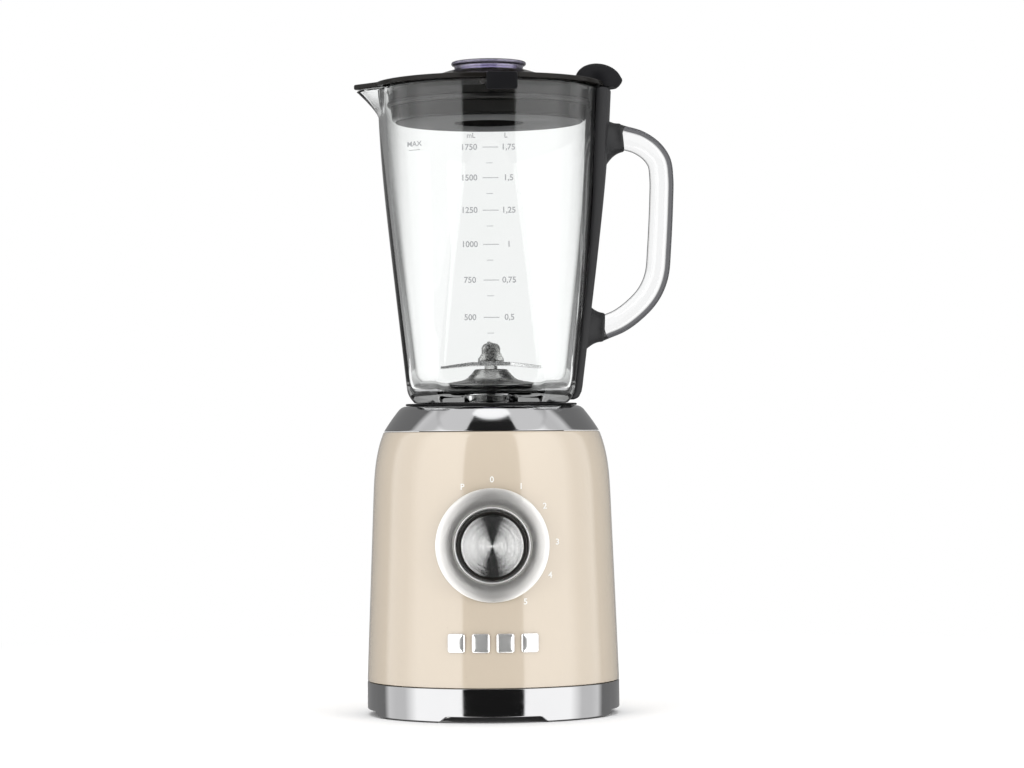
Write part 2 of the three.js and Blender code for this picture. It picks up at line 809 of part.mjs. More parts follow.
function lid() {
  const dome = turned([
    [0, lidUnderside + 0.1],
    [71.4, lidUnderside + 0.1],
    [71.4, lidUnderside + 2.5],
    [69, lidUnderside + 3.2],
    [40, 394.6],
    [25, 399.4],
    [0, 399.4],
  ], large);
  const plug = turned([
    [0, 367],
    [58.6, 367],
    [60.4, 368.4],
    [61.4, 374],
    [62.4, lidUnderside + 1],
    [0, lidUnderside + 1],
  ], large);
  const groove = ring(60, 70, 376, 380, medium);
  const hollow = turned([
    [25.6, 360],
    [56.4, 360],
    [59.4, 387],
    [56, 390.6],
    [38, 391.8],
    [25.6, 395.5],
  ], large);
  const filler = turned([[0, 350], [21.9, 350], [21.9, 420], [0, 420]], large);
  const tab = moved(box(18.7, 3.4, 10.4), 8, -71.6, 386.4);
  return build([lidRim(), dome, plug, tab, thumbHood()], [groove, hollow, filler]);
}

// The rounded hood over the spine that the thumb pushes up.
function thumbHood() {
  const cap = new THREE.SphereGeometry(1, 20, 12).scale(15, 13, 13.4);
  const base = ring(0, 40, 388.5, 440, small);
  const solid = toManifold(tidy(cap).translate(68.6, 0, 390.4));
  return fromManifold(solid.intersect(toManifold(moved(base, 68.6, 0, 0))));
}

function lidSeal() {
  const [bottom, top] = [376 + gap, 380 - gap];
  return turned([
    [60 + gap, bottom],
    [62.8, bottom],
    [63.6, bottom + 1.1],
    [62.8, top],
    [60 + gap, top],
  ], large);
}

// The filler cap is also a measuring cup: a tube closed at the top, with a flange for the fingers.
function fillerCap() {
  return turned([
    [0, 405.5],
    [19.6, 405.5],
    [22.4, 404.8],
    [23.4, 403.2],
    [23.2, 401.4],
    [20.9, 400.2],
    [20.9, 372],
    [20.2, 371.2],
    [18.6, 371.2],
    [18.6, 402.6],
    [0, 402.9],
  ], large);
}

// ---------------------------------------------------------------- the whole blender

place('base_shell', baseShell(), enamel);
place('top_deck', topDeck(), chrome);
place('base_band', baseBand(), chrome);
place('bottom_plate', bottomPlate(), blackPlastic);
place('cord_gland', cordGland(), rubber);
place('drive_well', driveWell(), blackPlastic);
place('seat_pad', seatPad(), rubber);
place('interlock_switch', interlockSwitch(), blackPlastic);
place('speed_switch', speedSwitch(), blackPlastic);
place('circuit_board', circuitBoard(), boardGreen);
place('dial_bezel', dialBezel(), steel);

for (let i = 0; i < 4; i += 1) {
  const quarter = (i * Math.PI) / 2;
  const foot = place(`rubber_foot_${i + 1}`, rubberFoot().translate(footCircle, 0, 0), rubber);
  foot.rotation.z = footAngle + quarter;
  const fixingShape = screw(3.9, 1.6, 14, plateBottom).translate(screwCircle, 0, 0);
  const fixing = place(`base_screw_${i + 1}`, fixingShape, steel);
  fixing.rotation.z = screwAngle + quarter;
}

// Four plain chrome bars stand in a row on the front, each square to the housing behind it.
const badgeCount = 4;
const badgePitch = 14.6;
const badgeSize = { width: 11, thickness: 1.8, height: 11.6, corner: 1.2 };
for (let i = 0; i < badgeCount; i += 1) {
  const x = (i - (badgeCount - 1) / 2) * badgePitch;
  const outline = roundedRectangle(badgeSize.width, badgeSize.height, badgeSize.corner);
  const bar = facingFront(prism(outline, 77.4, 77.4 + badgeSize.thickness, 4));
  const badge = place(`badge_bar_${i + 1}`, bar.translate(0, 0, badgeHeight), chrome);
  badge.rotation.z = Math.asin(x / 77);
}

place('motor_field_core', motorFieldCore(), laminations);
place('field_coil_left', fieldCoil(-1), copper);
place('field_coil_right', fieldCoil(1), copper);
place('motor_bracket_top', motorBracket(topStandoff, 0), castAluminium);
place('motor_bracket_bottom', motorBracket(bottomStandoff, Math.PI), castAluminium);
place('bearing_top', ballBearing(motorMiddle + stackHeight / 2 + gap + topStandoff), steel);
place('bearing_bottom', ballBearing(motorMiddle - stackHeight / 2 - gap - bottomStandoff), steel);
place('brush_holder_left', brushHolder(-1), brass);
place('brush_holder_right', brushHolder(1), brass);
place('carbon_brush_left', carbonBrush(-1), carbon);
place('carbon_brush_right', carbonBrush(1), carbon);

place('motor_shaft', motorShaft(), steel);
place('armature_core', armatureCore(), laminations);
place('armature_winding', armatureWinding(), copper);
place('commutator', commutator(), copper);
place('cooling_fan', coolingFan(), blackPlastic);
place('drive_coupling', driveCoupling(), rubber);

const knob = new THREE.Group();
knob.position.z = dialHeight;
assembly.add(knob);
place('knob_body', build([knobBody(), pointerRidge()]), glossBlack, knob);
place('knob_face', knobFace(), steel, knob);
place('knob_spindle', knobSpindle(), steel, knob);

place('interlock_plunger', interlockPlunger(), blackPlastic);

place('glass_jug', glassJug(), clearGlass);
place('handle_spine', handleSpine(), blackPlastic);
place('handle_grip', gripRod(0), clearGlass);
place('jug_collar', jugCollar(), blackPlastic);
place('blade_holder', bladeHolder(), steel);
place('blade_gasket', bladeGasket(), silicone);
place('bearing_bush', bearingBush(), brass);

place('blade_shaft', bladeShaft(), steel);
place('blade_lower', crossBlade(jugFloor + 17.3, 33, -0.1, 0), steel);
place('blade_upper', crossBlade(jugFloor + 19.5, 30, 0.55, Math.PI / 2), steel);
place('blade_nut', bladeNut(), steel);
place('jug_coupling', jugCoupling(), steel);

place('lid', lid(), glossBlack);
place('lid_seal', lidSeal(), silicone);
place('filler_cap', fillerCap(), smokyPlastic);

export default assembly;
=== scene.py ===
# %% [markdown]
# # A countertop blender
# The blender is a round enamelled motor base with a chrome deck, and on it a pressed-glass jug with a black
# spine, a glass D handle, a lid and a filler cap. The engineering model gives every piece its place and its
# motion. This notebook gives the visible pieces their fine shapes and every piece its finish.
# The frame comes in first, because all positions are read from it.

# %% Load the frame
import json
import math
import bpy
import bmesh
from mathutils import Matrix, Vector


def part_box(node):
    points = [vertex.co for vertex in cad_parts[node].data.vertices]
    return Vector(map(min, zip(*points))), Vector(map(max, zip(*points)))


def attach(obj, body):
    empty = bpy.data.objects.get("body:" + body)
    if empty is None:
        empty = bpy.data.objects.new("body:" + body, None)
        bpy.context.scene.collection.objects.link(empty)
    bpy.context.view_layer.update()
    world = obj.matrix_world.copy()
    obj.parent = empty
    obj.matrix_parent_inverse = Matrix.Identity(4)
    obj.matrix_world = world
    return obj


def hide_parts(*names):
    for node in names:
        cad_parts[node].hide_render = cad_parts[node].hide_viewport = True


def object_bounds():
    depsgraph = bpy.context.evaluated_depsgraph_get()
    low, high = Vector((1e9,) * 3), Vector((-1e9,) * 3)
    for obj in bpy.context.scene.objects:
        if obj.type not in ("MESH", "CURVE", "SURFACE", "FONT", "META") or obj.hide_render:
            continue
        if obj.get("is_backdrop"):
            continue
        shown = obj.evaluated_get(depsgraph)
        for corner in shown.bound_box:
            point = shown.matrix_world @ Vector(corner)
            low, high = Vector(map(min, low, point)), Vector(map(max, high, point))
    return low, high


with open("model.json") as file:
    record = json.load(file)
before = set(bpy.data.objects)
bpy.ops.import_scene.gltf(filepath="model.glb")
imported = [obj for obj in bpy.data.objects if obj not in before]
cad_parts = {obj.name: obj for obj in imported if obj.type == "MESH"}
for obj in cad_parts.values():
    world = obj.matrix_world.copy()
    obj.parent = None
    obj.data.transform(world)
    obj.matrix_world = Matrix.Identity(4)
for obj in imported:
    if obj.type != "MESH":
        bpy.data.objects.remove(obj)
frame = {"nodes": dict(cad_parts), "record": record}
cad_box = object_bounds()
MM = 0.001

# %% [markdown]
# ## Camera
# A long lens from two metres away, at about the height of the deck, looks at the front square on. The lens
# and distance keep the verticals nearly parallel, as in a catalogue picture. The camera tips up a little
# instead of shifting, so that other views can reuse it.

# %% Make the camera
CAMERA_DISTANCE = 2.05
CAMERA_HEIGHT = 0.175
LENS = 115.7
TILT = math.radians(0.82)
PAN = math.radians(-0.357)
ROLL = math.radians(0.46)

camera = bpy.data.objects.new("camera", bpy.data.cameras.new("camera"))
bpy.context.scene.collection.objects.link(camera)
bpy.context.scene.camera = camera
camera.data.lens = LENS
camera.data.sensor_width = 36
camera.location = (0, -CAMERA_DISTANCE, CAMERA_HEIGHT)
camera.rotation_mode = "XYZ"
camera.rotation_euler = (math.radians(90) + TILT, ROLL, PAN)
print("camera", round(CAMERA_DISTANCE, 2), "m away with a", LENS, "mm lens")

# %% [markdown]
# ## Shader maths as plain expressions
# Most finishes need a little arithmetic: a distance from an axis, a wave, a threshold. A socket wrapped in a
# small class lets that be written as Python, and each operation adds its Math node. Wiring the same nodes by
# hand takes four lines each and hides the formula.

# %% Wrap a socket
class Wire:
    def __init__(self, finish, socket):
        self.finish, self.socket = finish, socket

    def math(self, operation, *values):
        return self.finish.node("ShaderNodeMath", {"operation": operation}, *values)

    def __add__(self, other): return self.math("ADD", self, other)
    def __radd__(self, other): return self.math("ADD", other, self)
    def __sub__(self, other): return self.math("SUBTRACT", self, other)
    def __rsub__(self, other): return self.math("SUBTRACT", other, self)
    def __mul__(self, other): return self.math("MULTIPLY", self, other)
    def __rmul__(self, other): return self.math("MULTIPLY", other, self)
    def __truediv__(self, other): return self.math("DIVIDE", self, other)
    def __rtruediv__(self, other): return self.math("DIVIDE", other, self)
    def __pow__(self, other): return self.math("POWER", self, other)
    def __rpow__(self, other): return self.math("POWER", other, self)
    def __gt__(self, other): return self.math("GREATER_THAN", self, other)
    def __lt__(self, other): return self.math("LESS_THAN", self, other)


# %% [markdown]
# ## One finish, one node tree
# A finish is a material with a few layers of noise. Every node comes from one method, which sets the node's
# settings first, such as a Math node's operation, and then its values and links by place or by name. The
# short methods below it are the nodes that nearly every finish needs. The noise sits in the piece's own
# coordinates, so it travels with the piece when a joint moves.

# %% Make a finish
class Finish:
    def __init__(self, name):
        self.material = bpy.data.materials.new(name)
        self.material.use_nodes = True
        self.tree = self.material.node_tree
        self.tree.nodes.clear()
        self.point = self.node("ShaderNodeTexCoord", {}, out="Object")

    def node(self, kind, settings, *values, out=0, **named):
        made = self.tree.nodes.new(kind)
        for key, value in settings.items():
            setattr(made, key, value)
        slots = list(enumerate(values))
        slots += [(key.replace("_", " "), value) for key, value in named.items()]
        for key, value in slots:
            if isinstance(value, Wire):
                self.tree.links.new(value.socket, made.inputs[key])
            elif value is not None:
                made.inputs[key].default_value = value
        return Wire(self, made.outputs[out]) if len(made.outputs) else made

    def noise(self, scale, detail=3.0, at=None, roughness=0.5):
        return self.node("ShaderNodeTexNoise", {}, Vector=at or self.point, Scale=scale,
                         Detail=detail, Roughness=roughness)

    def squeeze(self, x, y, z):
        """The point with each axis stretched, so that noise turns into lines along the least stretched."""
        return self.node("ShaderNodeVectorMath", {"operation": "MULTIPLY"}, self.point, (x, y, z))

    def axes(self):
        """The three coordinates of the point, each as a socket of its own."""
        split = self.node("ShaderNodeSeparateXYZ", {}, self.point).socket.node
        return [Wire(self, split.outputs[i]) for i in range(3)]

    def ramp(self, value, low, high, start=0.0, end=1.0):
        return self.node("ShaderNodeMapRange", {"clamp": True}, value, low, high, start, end)

    def blend(self, factor, one, other):
        """A mix of two colours. A Mix node keeps its colour sockets after five that belong to other types."""
        colours = [c if isinstance(c, Wire) else (*c, 1) for c in (one, other)]
        return self.node("ShaderNodeMix", {"data_type": "RGBA"}, factor, *[None] * 5, *colours, out=2)

    def bump(self, height, distance, strength=1.0):
        return self.node("ShaderNodeBump", {}, Height=height, Distance=distance, Strength=strength)

    def surface(self, **inputs):
        shader = self.node("ShaderNodeBsdfPrincipled", {}, **inputs)
        self.node("ShaderNodeOutputMaterial", {}, shader)
        print("finish", self.material.name, "has", len(self.tree.nodes), "nodes")
        return self.material


# %% [markdown]
# ## Cream enamel
# The housing is sprayed with a glossy cream enamel. Real enamel is never one flat colour: the coat is a touch
# thinner in places, it has a very fine orange peel, and handling leaves faint smears that only the gloss
# shows. A clear coat over a slightly rough base gives the deep shine, and the noise goes into the colour,
# the roughness and a bump of a few hundredths of a millimetre.

# %% Cream enamel
def cream_enamel():
    f = Finish("cream_enamel")
    cloud = f.noise(9.0, 4.0)
    speck = f.noise(900.0, 2.0) > 0.735
    tone = f.blend(cloud, (0.600, 0.514, 0.408), (0.622, 0.537, 0.432))
    colour = f.blend(speck * 0.35, tone, (0.50, 0.41, 0.32))
    smear = f.noise(1.0, 5.0, f.squeeze(30, 30, 8))
    peel = f.noise(420.0, 2.0)
    return f.surface(Base_Color=colour, Roughness=f.ramp(smear, 0.35, 0.7, 0.14, 0.22), Coat_Weight=0.9,
                     Coat_Roughness=0.03, Coat_IOR=1.55, Normal=f.bump(peel, 0.03 * MM, 0.5))


ENAMEL = cream_enamel()

# %% [markdown]
# ## Polished and satin metals
# Chrome is a mirror with faint wipe marks, so its roughness wanders a little and hairlines run round it. The
# plating of the deck and the foot band is a dark chrome.

# %% Chrome
def darker(colour, share):
    return tuple(share * c for c in colour)


def chrome():
    f = Finish("chrome")
    base = (0.44, 0.44, 0.445)
    wipe = f.noise(1.0, 4.0, f.squeeze(14, 14, 260))
    haze = f.noise(35.0, 4.0)
    colour = f.blend(haze, base, darker(base, 0.93))
    return f.surface(Base_Color=colour, Metallic=1.0, Roughness=f.ramp(wipe, 0.3, 0.75, 0.035, 0.11),
                     Normal=f.bump(wipe, 0.004 * MM, 0.4))


CHROME = chrome()

# %% [markdown]
# ## Steel turned on a lathe
# The bezel and the disc of the knob carry fine tool marks round their centre, which stretch every highlight
# across the rings into bright wedges. The rings are finer than a bump can follow, so the shader leans the
# normal in or out along the radius instead, by an amount that changes from ring to ring.

# %% Turned steel
RING_CONTRAST = (0.41, 0.59)


def turned_steel(name, centre, base, pitch, tilt, rough):
    """Steel with tool marks round an axis along Y: each ring leans its normal in or out by up to tilt."""
    f = Finish(name)
    x, _, z = f.axes()
    dx, dz = x - centre[0], z - centre[2]
    radius = (dx * dx + dz * dz) ** 0.5
    rings = f.noise(1.0, 4.0, f.node("ShaderNodeCombineXYZ", {}, radius * (1 / pitch), 0.0, 0.0), 0.7)
    lean = (f.ramp(rings, *RING_CONTRAST) - 0.5) * (2 * tilt) / radius
    outward = f.node("ShaderNodeCombineXYZ", {}, dx * lean, 0.0, dz * lean)
    outward = f.node("ShaderNodeVectorTransform", {"vector_type": "VECTOR", "convert_from": "OBJECT",
                                                   "convert_to": "WORLD"}, outward)
    facing = f.node("ShaderNodeNewGeometry", {}, out="Normal")
    leaned = f.node("ShaderNodeVectorMath", {"operation": "ADD"}, facing, outward)
    leaned = f.node("ShaderNodeVectorMath", {"operation": "NORMALIZE"}, leaned)
    fleck = f.noise(700.0, 2.0)
    colour = f.blend(rings, darker(base, 0.86), base)
    return f.surface(Base_Color=colour, Metallic=1.0, Roughness=f.ramp(fleck, 0.3, 0.7, *rough),
                     Normal=leaned)


dial_low, dial_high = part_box("dial_bezel")
DIAL = (dial_low + dial_high) / 2
BEZEL_STEEL = turned_steel("bezel_steel", DIAL, (0.90, 0.885, 0.86), 0.05 * MM, 0.55, (0.36, 0.44))
SPUN_STEEL = turned_steel("spun_steel", DIAL, (0.92, 0.92, 0.91), 0.03 * MM, 0.58, (0.14, 0.2))

# %% [markdown]
# ## Plain and satin steel
# Sheet and bar steel show straight rolling lines, so their noise is squeezed along one axis. The bead round
# the knob and the badge bars are satin: partly metallic, so that they stay pale in a dark reflection.

# %% Plain and satin steel
def plain_steel(name, base, grain):
    f = Finish(name)
    lines = f.noise(1.0, 3.0, f.squeeze(*grain))
    stain = f.noise(60.0, 4.0)
    colour = f.blend(stain, base, darker(base, 0.82))
    return f.surface(Base_Color=colour, Metallic=1.0, Roughness=f.ramp(lines, 0.3, 0.7, 0.18, 0.34),
                     Normal=f.bump(lines, 0.01 * MM, 0.6))


def satin_steel(name, metal):
    f = Finish(name)
    wipe = f.noise(180.0, 4.0)
    return f.surface(Base_Color=f.blend(wipe, (0.86, 0.86, 0.85), (0.95, 0.95, 0.94)), Metallic=metal,
                     Roughness=f.ramp(wipe, 0.3, 0.7, 0.12, 0.25), Normal=f.bump(wipe, 0.01 * MM, 0.5))


STEEL = plain_steel("plain_steel", (0.62, 0.62, 0.61), (20, 20, 900))
EDGE_STEEL = plain_steel("edge_steel", (0.70, 0.70, 0.70), (900, 30, 900))
LIP_STEEL = satin_steel("lip_steel", 0.4)
BADGE_STEEL = satin_steel("badge_steel", 0.72)

# %% [markdown]
# ## Black plastics and rubber
# The blacks are told apart by their gloss. The spine and the collar are spark-eroded matte plastic, the tab
# and the hood a deeper and duller one, the lid and the knob are glossy mouldings with fine swirl marks, and
# the rubber is dull with a dusty bloom.

# %% Black plastics and rubber
def moulded(name, base, rough, grain_scale, grain_depth, shine=0.3):
    f = Finish(name)
    grain = f.noise(grain_scale, 3.0)
    bloom = f.noise(22.0, 5.0)
    colour = f.blend(bloom, base, tuple(1.3 * c + 0.001 for c in base))
    return f.surface(Base_Color=colour, Roughness=f.ramp(bloom, 0.3, 0.75, *rough),
                     Specular_IOR_Level=shine, Normal=f.bump(grain, grain_depth, 0.6))


MATTE_BLACK = moulded("matte_black", (0.011, 0.011, 0.012), (0.40, 0.52), 1500.0, 0.03 * MM)
DEEP_BLACK = moulded("deep_black", (0.005, 0.005, 0.006), (0.45, 0.6), 1200.0, 0.03 * MM, 0.12)
GLOSS_BLACK = moulded("gloss_black", (0.009, 0.008, 0.007), (0.10, 0.18), 250.0, 0.006 * MM, 0.14)
RUBBER = moulded("black_rubber", (0.012, 0.012, 0.012), (0.62, 0.8), 900.0, 0.04 * MM)
SILICONE = moulded("silicone", (0.030, 0.029, 0.028), (0.30, 0.45), 700.0, 0.02 * MM)

# %% [markdown]
# ## Glass and the smoky cap
# Pressed glass bends light at its thick corners, so the shape does most of the work. The surface keeps faint
# waves from the mould. A tinge of green is what iron leaves in cheap glass. The cap is the same kind of
# clear material, dyed violet-grey. Seen edge on, thick glass mirrors and bends the dark of the room, and a
# Layer Weight node paints that as shade: the colour goes dark towards the rim.

# %% Clear glass and smoky plastic
def clear(name, tint, ior, wave_scale, wave_depth, painted_rim_shade_from, rough=0.0):
    f = Finish(name)
    wave = f.noise(wave_scale, 2.0)
    body = f.blend(wave, tint, tuple(min(1.0, 1.02 * c) for c in tint))
    # Painted shade: seen edge on, the colour goes towards black, standing in for the dark the glass mirrors
    # and bends.
    facing = f.node("ShaderNodeLayerWeight", {}, Blend=0.5, out="Facing")
    rim = f.ramp(facing, painted_rim_shade_from, 1.0) ** 1.4
    return f.surface(Base_Color=f.blend(rim, body, (0.02, 0.02, 0.02)), Roughness=rough, IOR=ior,
                     Transmission_Weight=1.0, Normal=f.bump(wave, wave_depth, 0.5))


GLASS = clear("clear_glass", (0.975, 0.988, 0.980), 1.4, 45.0, 0.05 * MM, 0.3)
SMOKY = clear("smoky_plastic", (0.60, 0.56, 0.74), 1.49, 90.0, 0.02 * MM, 0.45, rough=0.04)

# %% [markdown]
# ## Shapes from profiles
# Most of the blender is turned: a profile swept round an axis. Sharp corners never exist on real parts, so
# each profile is written with plain corners and then rounded, which gives every edge its highlight.

# %% Round a profile and turn it
def rounded(points, radius, steps=5):
    """The closed outline with each corner replaced by an arc that fits it."""
    made = []
    count = len(points)
    for i, corner in enumerate(points):
        here = Vector(corner[:2])
        before, after = Vector(points[i - 1][:2]) - here, Vector(points[(i + 1) % count][:2]) - here
        size = corner[2] if len(corner) > 2 else radius
        reach = min(size, 0.45 * before.length, 0.45 * after.length)
        if size == 0:
            made.append(here)
            continue
        start, end = here + before.normalized() * reach, here + after.normalized() * reach
        for k in range(steps + 1):
            t = k / steps
            made.append((1 - t) ** 2 * start + 2 * t * (1 - t) * here + t ** 2 * end)
    return [(p.x, p.y) for p in made]


def turned(profile, steps=144):
    """Vertices and faces of a closed profile of (radius, height) turned round Z."""
    verts, faces, count = [], [], len(profile)
    for j in range(steps):
        angle = 2 * math.pi * j / steps
        verts += [(r * math.cos(angle), r * math.sin(angle), z) for r, z in profile]
    for j in range(steps):
        here, there = j * count, (j + 1) % steps * count
        for i in range(count):
            k = (i + 1) % count
            faces.append((here + i, there + i, there + k, here + k))
    return verts, faces


def swirl(section, steps):
    """Like turned, with a section that changes with the angle."""
    rings = []
    for j in range(steps):
        angle = 2 * math.pi * j / steps
        rings.append([(r * math.cos(angle), r * math.sin(angle), z) for r, z in section(angle)])
    return loft(rings, closed=True)


def loft(rings, closed=False):
    """Vertices and faces of a skin over rings of equal length, its ends capped unless it closes on itself."""
    verts, faces, count = [v for ring in rings for v in ring], [], len(rings[0])
    last = len(rings) if closed else len(rings) - 1
    for i in range(last):
        low, high = i * count, (i + 1) % len(rings) * count
        for j in range(count):
            k = (j + 1) % count
            faces.append((low + j, low + k, high + k, high + j))
    if not closed:
        faces.append(tuple(reversed(range(count))))
        faces.append(tuple(range(last * count, last * count + count)))
    return verts, faces


def face_front(shape, height):
    """A turned shape laid over so that its axis points out of the front at a height."""
    verts, faces = shape
    return [(x, -z, y + height) for x, y, z in verts], faces


def moved(shape, dx, dy, dz):
    verts, faces = shape
    return [(x + dx, y + dy, z + dz) for x, y, z in verts], faces


# %% [markdown]
# ## From a shape to a piece
# A shape is only a list of points and faces in millimetres. A piece is that shape cleaned of doubled points,
# given its finish, tied to the body it moves with, and shown in place of the engineering nodes it hides.
# Holes are cut with the exact boolean, whose result is kept as a plain mesh.

# %% Make and cut a piece
def piece(name, shape, material, body, replaces=(), smooth=40):
    """A new mesh piece from vertices in millimetres, riding on its body."""
    verts, faces = shape
    mesh = bpy.data.meshes.new(name)
    mesh.from_pydata([Vector(v) * MM for v in verts], [], faces)
    clean = bmesh.new()
    clean.from_mesh(mesh)
    bmesh.ops.remove_doubles(clean, verts=clean.verts, dist=1e-6)
    bmesh.ops.dissolve_degenerate(clean, edges=clean.edges, dist=1e-7)
    bmesh.ops.recalc_face_normals(clean, faces=clean.faces)
    clean.to_mesh(mesh)
    clean.free()
    mesh.materials.append(material)
    made = bpy.data.objects.new(name, mesh)
    bpy.context.scene.collection.objects.link(made)
    for polygon in mesh.polygons:
        polygon.use_smooth = True
    mesh.set_sharp_from_angle(angle=math.radians(smooth))
    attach(made, body)
    if replaces:
        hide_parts(*replaces)
    print(name, len(mesh.polygons), "faces")
    return made


def cut(made, shape):
    """Takes a closed shape in millimetres out of a piece."""
    mesh = bpy.data.meshes.new("cutter")
    mesh.from_pydata([Vector(v) * MM for v in shape[0]], [], shape[1])
    tool = bpy.data.objects.new("cutter", mesh)
    bpy.context.scene.collection.objects.link(tool)
    step = made.modifiers.new("cut", "BOOLEAN")
    step.operation, step.solver, step.object = "DIFFERENCE", "EXACT", tool
    bpy.context.view_layer.update()
    done = bpy.data.meshes.new_from_object(made.evaluated_get(bpy.context.evaluated_depsgraph_get()))
    made.modifiers.remove(step)
    made.data = done
    bpy.data.objects.remove(tool)
    done.set_sharp_from_angle(angle=math.radians(30))


# %% [markdown]
# ## Motor housing
# The housing is one drawn shell. Its flank leans in by four millimetres over most of its height and then
# curls over into the shoulder under the deck. One smooth formula gives that curve, so that a reflection runs
# up it without a kink. The dial and the cord entry get their real holes.

# %% Housing, dial hole and cord hole
SHELL_FOOT, SHELL_TOP, SHELL_WALL = 20.9, 175.0, 2.4
DIAL_HEIGHT = 106.6
GLAND_HEIGHT = 34.0


def shell_radius(z):
    return 78.2 - 0.0393 * (z - 20.6) - 5.1 * max(0, (z - 132) / 43) ** 3.1


def housing_profile():
    heights = [SHELL_FOOT + 0.9 + k * (SHELL_TOP - SHELL_FOOT - 1.8) / 48 for k in range(49)]
    outside = [(shell_radius(z), z) for z in heights]
    inside = [(r - SHELL_WALL, z) for r, z in outside]
    foot = [(75.9, SHELL_FOOT), (77.4, SHELL_FOOT), (78.0, SHELL_FOOT + 0.35)]
    brow = [(66.9, SHELL_TOP - 0.3), (66.2, SHELL_TOP), (64.8, SHELL_TOP)]
    return foot + outside + brow + inside[::-1]


housing = piece("housing", turned(housing_profile(), 192), ENAMEL, "base", ["base_shell"])
cut(housing, face_front(turned([(0.01, 60), (15, 60), (15, 90), (0.01, 90)], 48), DIAL_HEIGHT))
cut(housing, face_front(turned([(0.01, -60), (8.4, -60), (8.4, -90), (0.01, -90)], 48), GLAND_HEIGHT))

# %% [markdown]
# ## Chrome deck and foot band
# Above the housing a chromed cone rises to the jug's seat, and below it a chromed band carries the machine.
# Both are pressed metal with rolled edges. The cone swells a little between its edges, as pressed sheet does,
# which widens what it mirrors. The band is notched on four sides, which leaves lobes over the feet, so its
# lower edge is a function of the angle round the axis.

# %% Deck and band
crown = []
for k in range(1, 12):
    t = k / 12
    swell = 1.12 * t * (1 - t)
    crown.append((57.3 + 9.6 * t + 0.816 * swell, 188.8 - 13.5 * t + 0.58 * swell, 0.4))
deck_profile = [(45.5, 190.8, 0.6), (53.6, 190.8, 1.5), (55.5, 190.2, 1.2), (57.3, 188.8, 0.8), *crown,
                (66.9, 175.3, 0.4), (62, 175.3, 0.5), (54.5, 186.5), (45.5, 187.8, 0.6)]
piece("deck", turned(rounded(deck_profile, 1.0), 192), CHROME, "base", ["top_deck"])
BAND_TOP, BAND_FOOT, BAND_NOTCH = 20.6, 0.8, 3.8
NOTCH_HALF, NOTCH_RAMP = math.radians(21), math.radians(4)


def ease(x):
    x = max(0.0, min(1.0, x))
    return x * x * (3 - 2 * x)


def band_section(angle):
    """The band's section at an angle: over a notch its foot is drawn up."""
    quarter = math.pi / 2
    from_notch = abs((angle + quarter / 2) % quarter - quarter / 2)
    foot = BAND_NOTCH - (BAND_NOTCH - BAND_FOOT) * ease((from_notch - NOTCH_HALF) / NOTCH_RAMP)
    return rounded([(76.9, foot, 0.3), (78.2, foot, 0.9), (78.2, BAND_TOP, 0.5), (76.9, BAND_TOP, 0.3)], 0.5)


piece("foot_band", swirl(band_section, 480), CHROME, "base", ["base_band"])

# %% [markdown]
# ## Dial
# The bezel is a domed steel ring that hugs the round housing, with a bright bead inside it. The knob is a
# black cup with a spun steel disc set into its face. The disc's face is slightly coned, which spreads its
# highlights into wedges.

# %% Bezel, knob and spun disc
BEZEL_FRONT, BEZEL_RADIUS, SPINDLE_HOLE = 79.5, 34.4, 13


def bezel_section(angle):
    """Section at an angle round the dial: the back follows the housing, so it is deeper at the sides."""
    across, up = BEZEL_RADIUS * math.cos(angle), BEZEL_RADIUS * math.sin(angle)
    back = math.sqrt(shell_radius(DIAL_HEIGHT + up) ** 2 - across ** 2) + 0.3
    inner = math.sqrt(shell_radius(DIAL_HEIGHT) ** 2 - (SPINDLE_HOLE * math.cos(angle)) ** 2) + 0.3
    front = [(BEZEL_RADIUS, BEZEL_FRONT - 2.2, 0.5), (33.6, BEZEL_FRONT - 1.5, 0.6),
             (31.4, BEZEL_FRONT - 0.6, 1.5), (27.6, BEZEL_FRONT + 0.05, 2.5),
             (24.6, BEZEL_FRONT - 0.6, 1.5), (23.2, BEZEL_FRONT - 1.6, 0.5),
             (23.2, BEZEL_FRONT - 3.2, 0.2), (SPINDLE_HOLE, BEZEL_FRONT - 3.2, 0.2)]
    seat = (SPINDLE_HOLE, min(inner, BEZEL_FRONT - 3.6), 0)
    return rounded([(BEZEL_RADIUS, back, 0), *front, seat], 1.0)


piece("bezel", face_front(swirl(bezel_section, 192), DIAL_HEIGHT), BEZEL_STEEL, "base",
      ["dial_bezel"])
lip = [(21.5, 76.4, 0.2), (23.1, 76.4, 0.2), (23.1, 78.3, 0.5), (22.6, 79.0, 0.6), (21.7, 78.6, 0.4)]
piece("bezel_lip", face_front(turned(rounded(lip, 0.3), 144), DIAL_HEIGHT), LIP_STEEL, "base")
cup = [(0.01, 76.8, 0), (20.2, 76.8, 0.5), (21, 77.6, 0.6), (20.7, 89.0, 1.0), (19.9, 89.9, 0.6),
       (19.2, 89.7, 0.3), (18.9, 88.4, 0.1), (0.01, 88.4, 0)]
piece("knob_cup", face_front(turned(rounded(cup, 0.6)), DIAL_HEIGHT), GLOSS_BLACK, "knob",
      ["knob_body"])
disc = [(0.01, 88.7, 0), (18.7, 88.7, 0), (18.7, 89.35, 0.08), (18.55, 89.5, 0.08), (0.01, 89.4, 0)]
piece("knob_disc", face_front(turned(rounded(disc, 0.3), 192), DIAL_HEIGHT), SPUN_STEEL, "knob",
      ["knob_face"])

# %% [markdown]
# ## Badge bars
# Four chromed bars stand on the front of the housing. They are die castings with a softened face, so each is
# a rounded rectangle whose rim steps in as it rises, and each stands square to the round wall behind it.

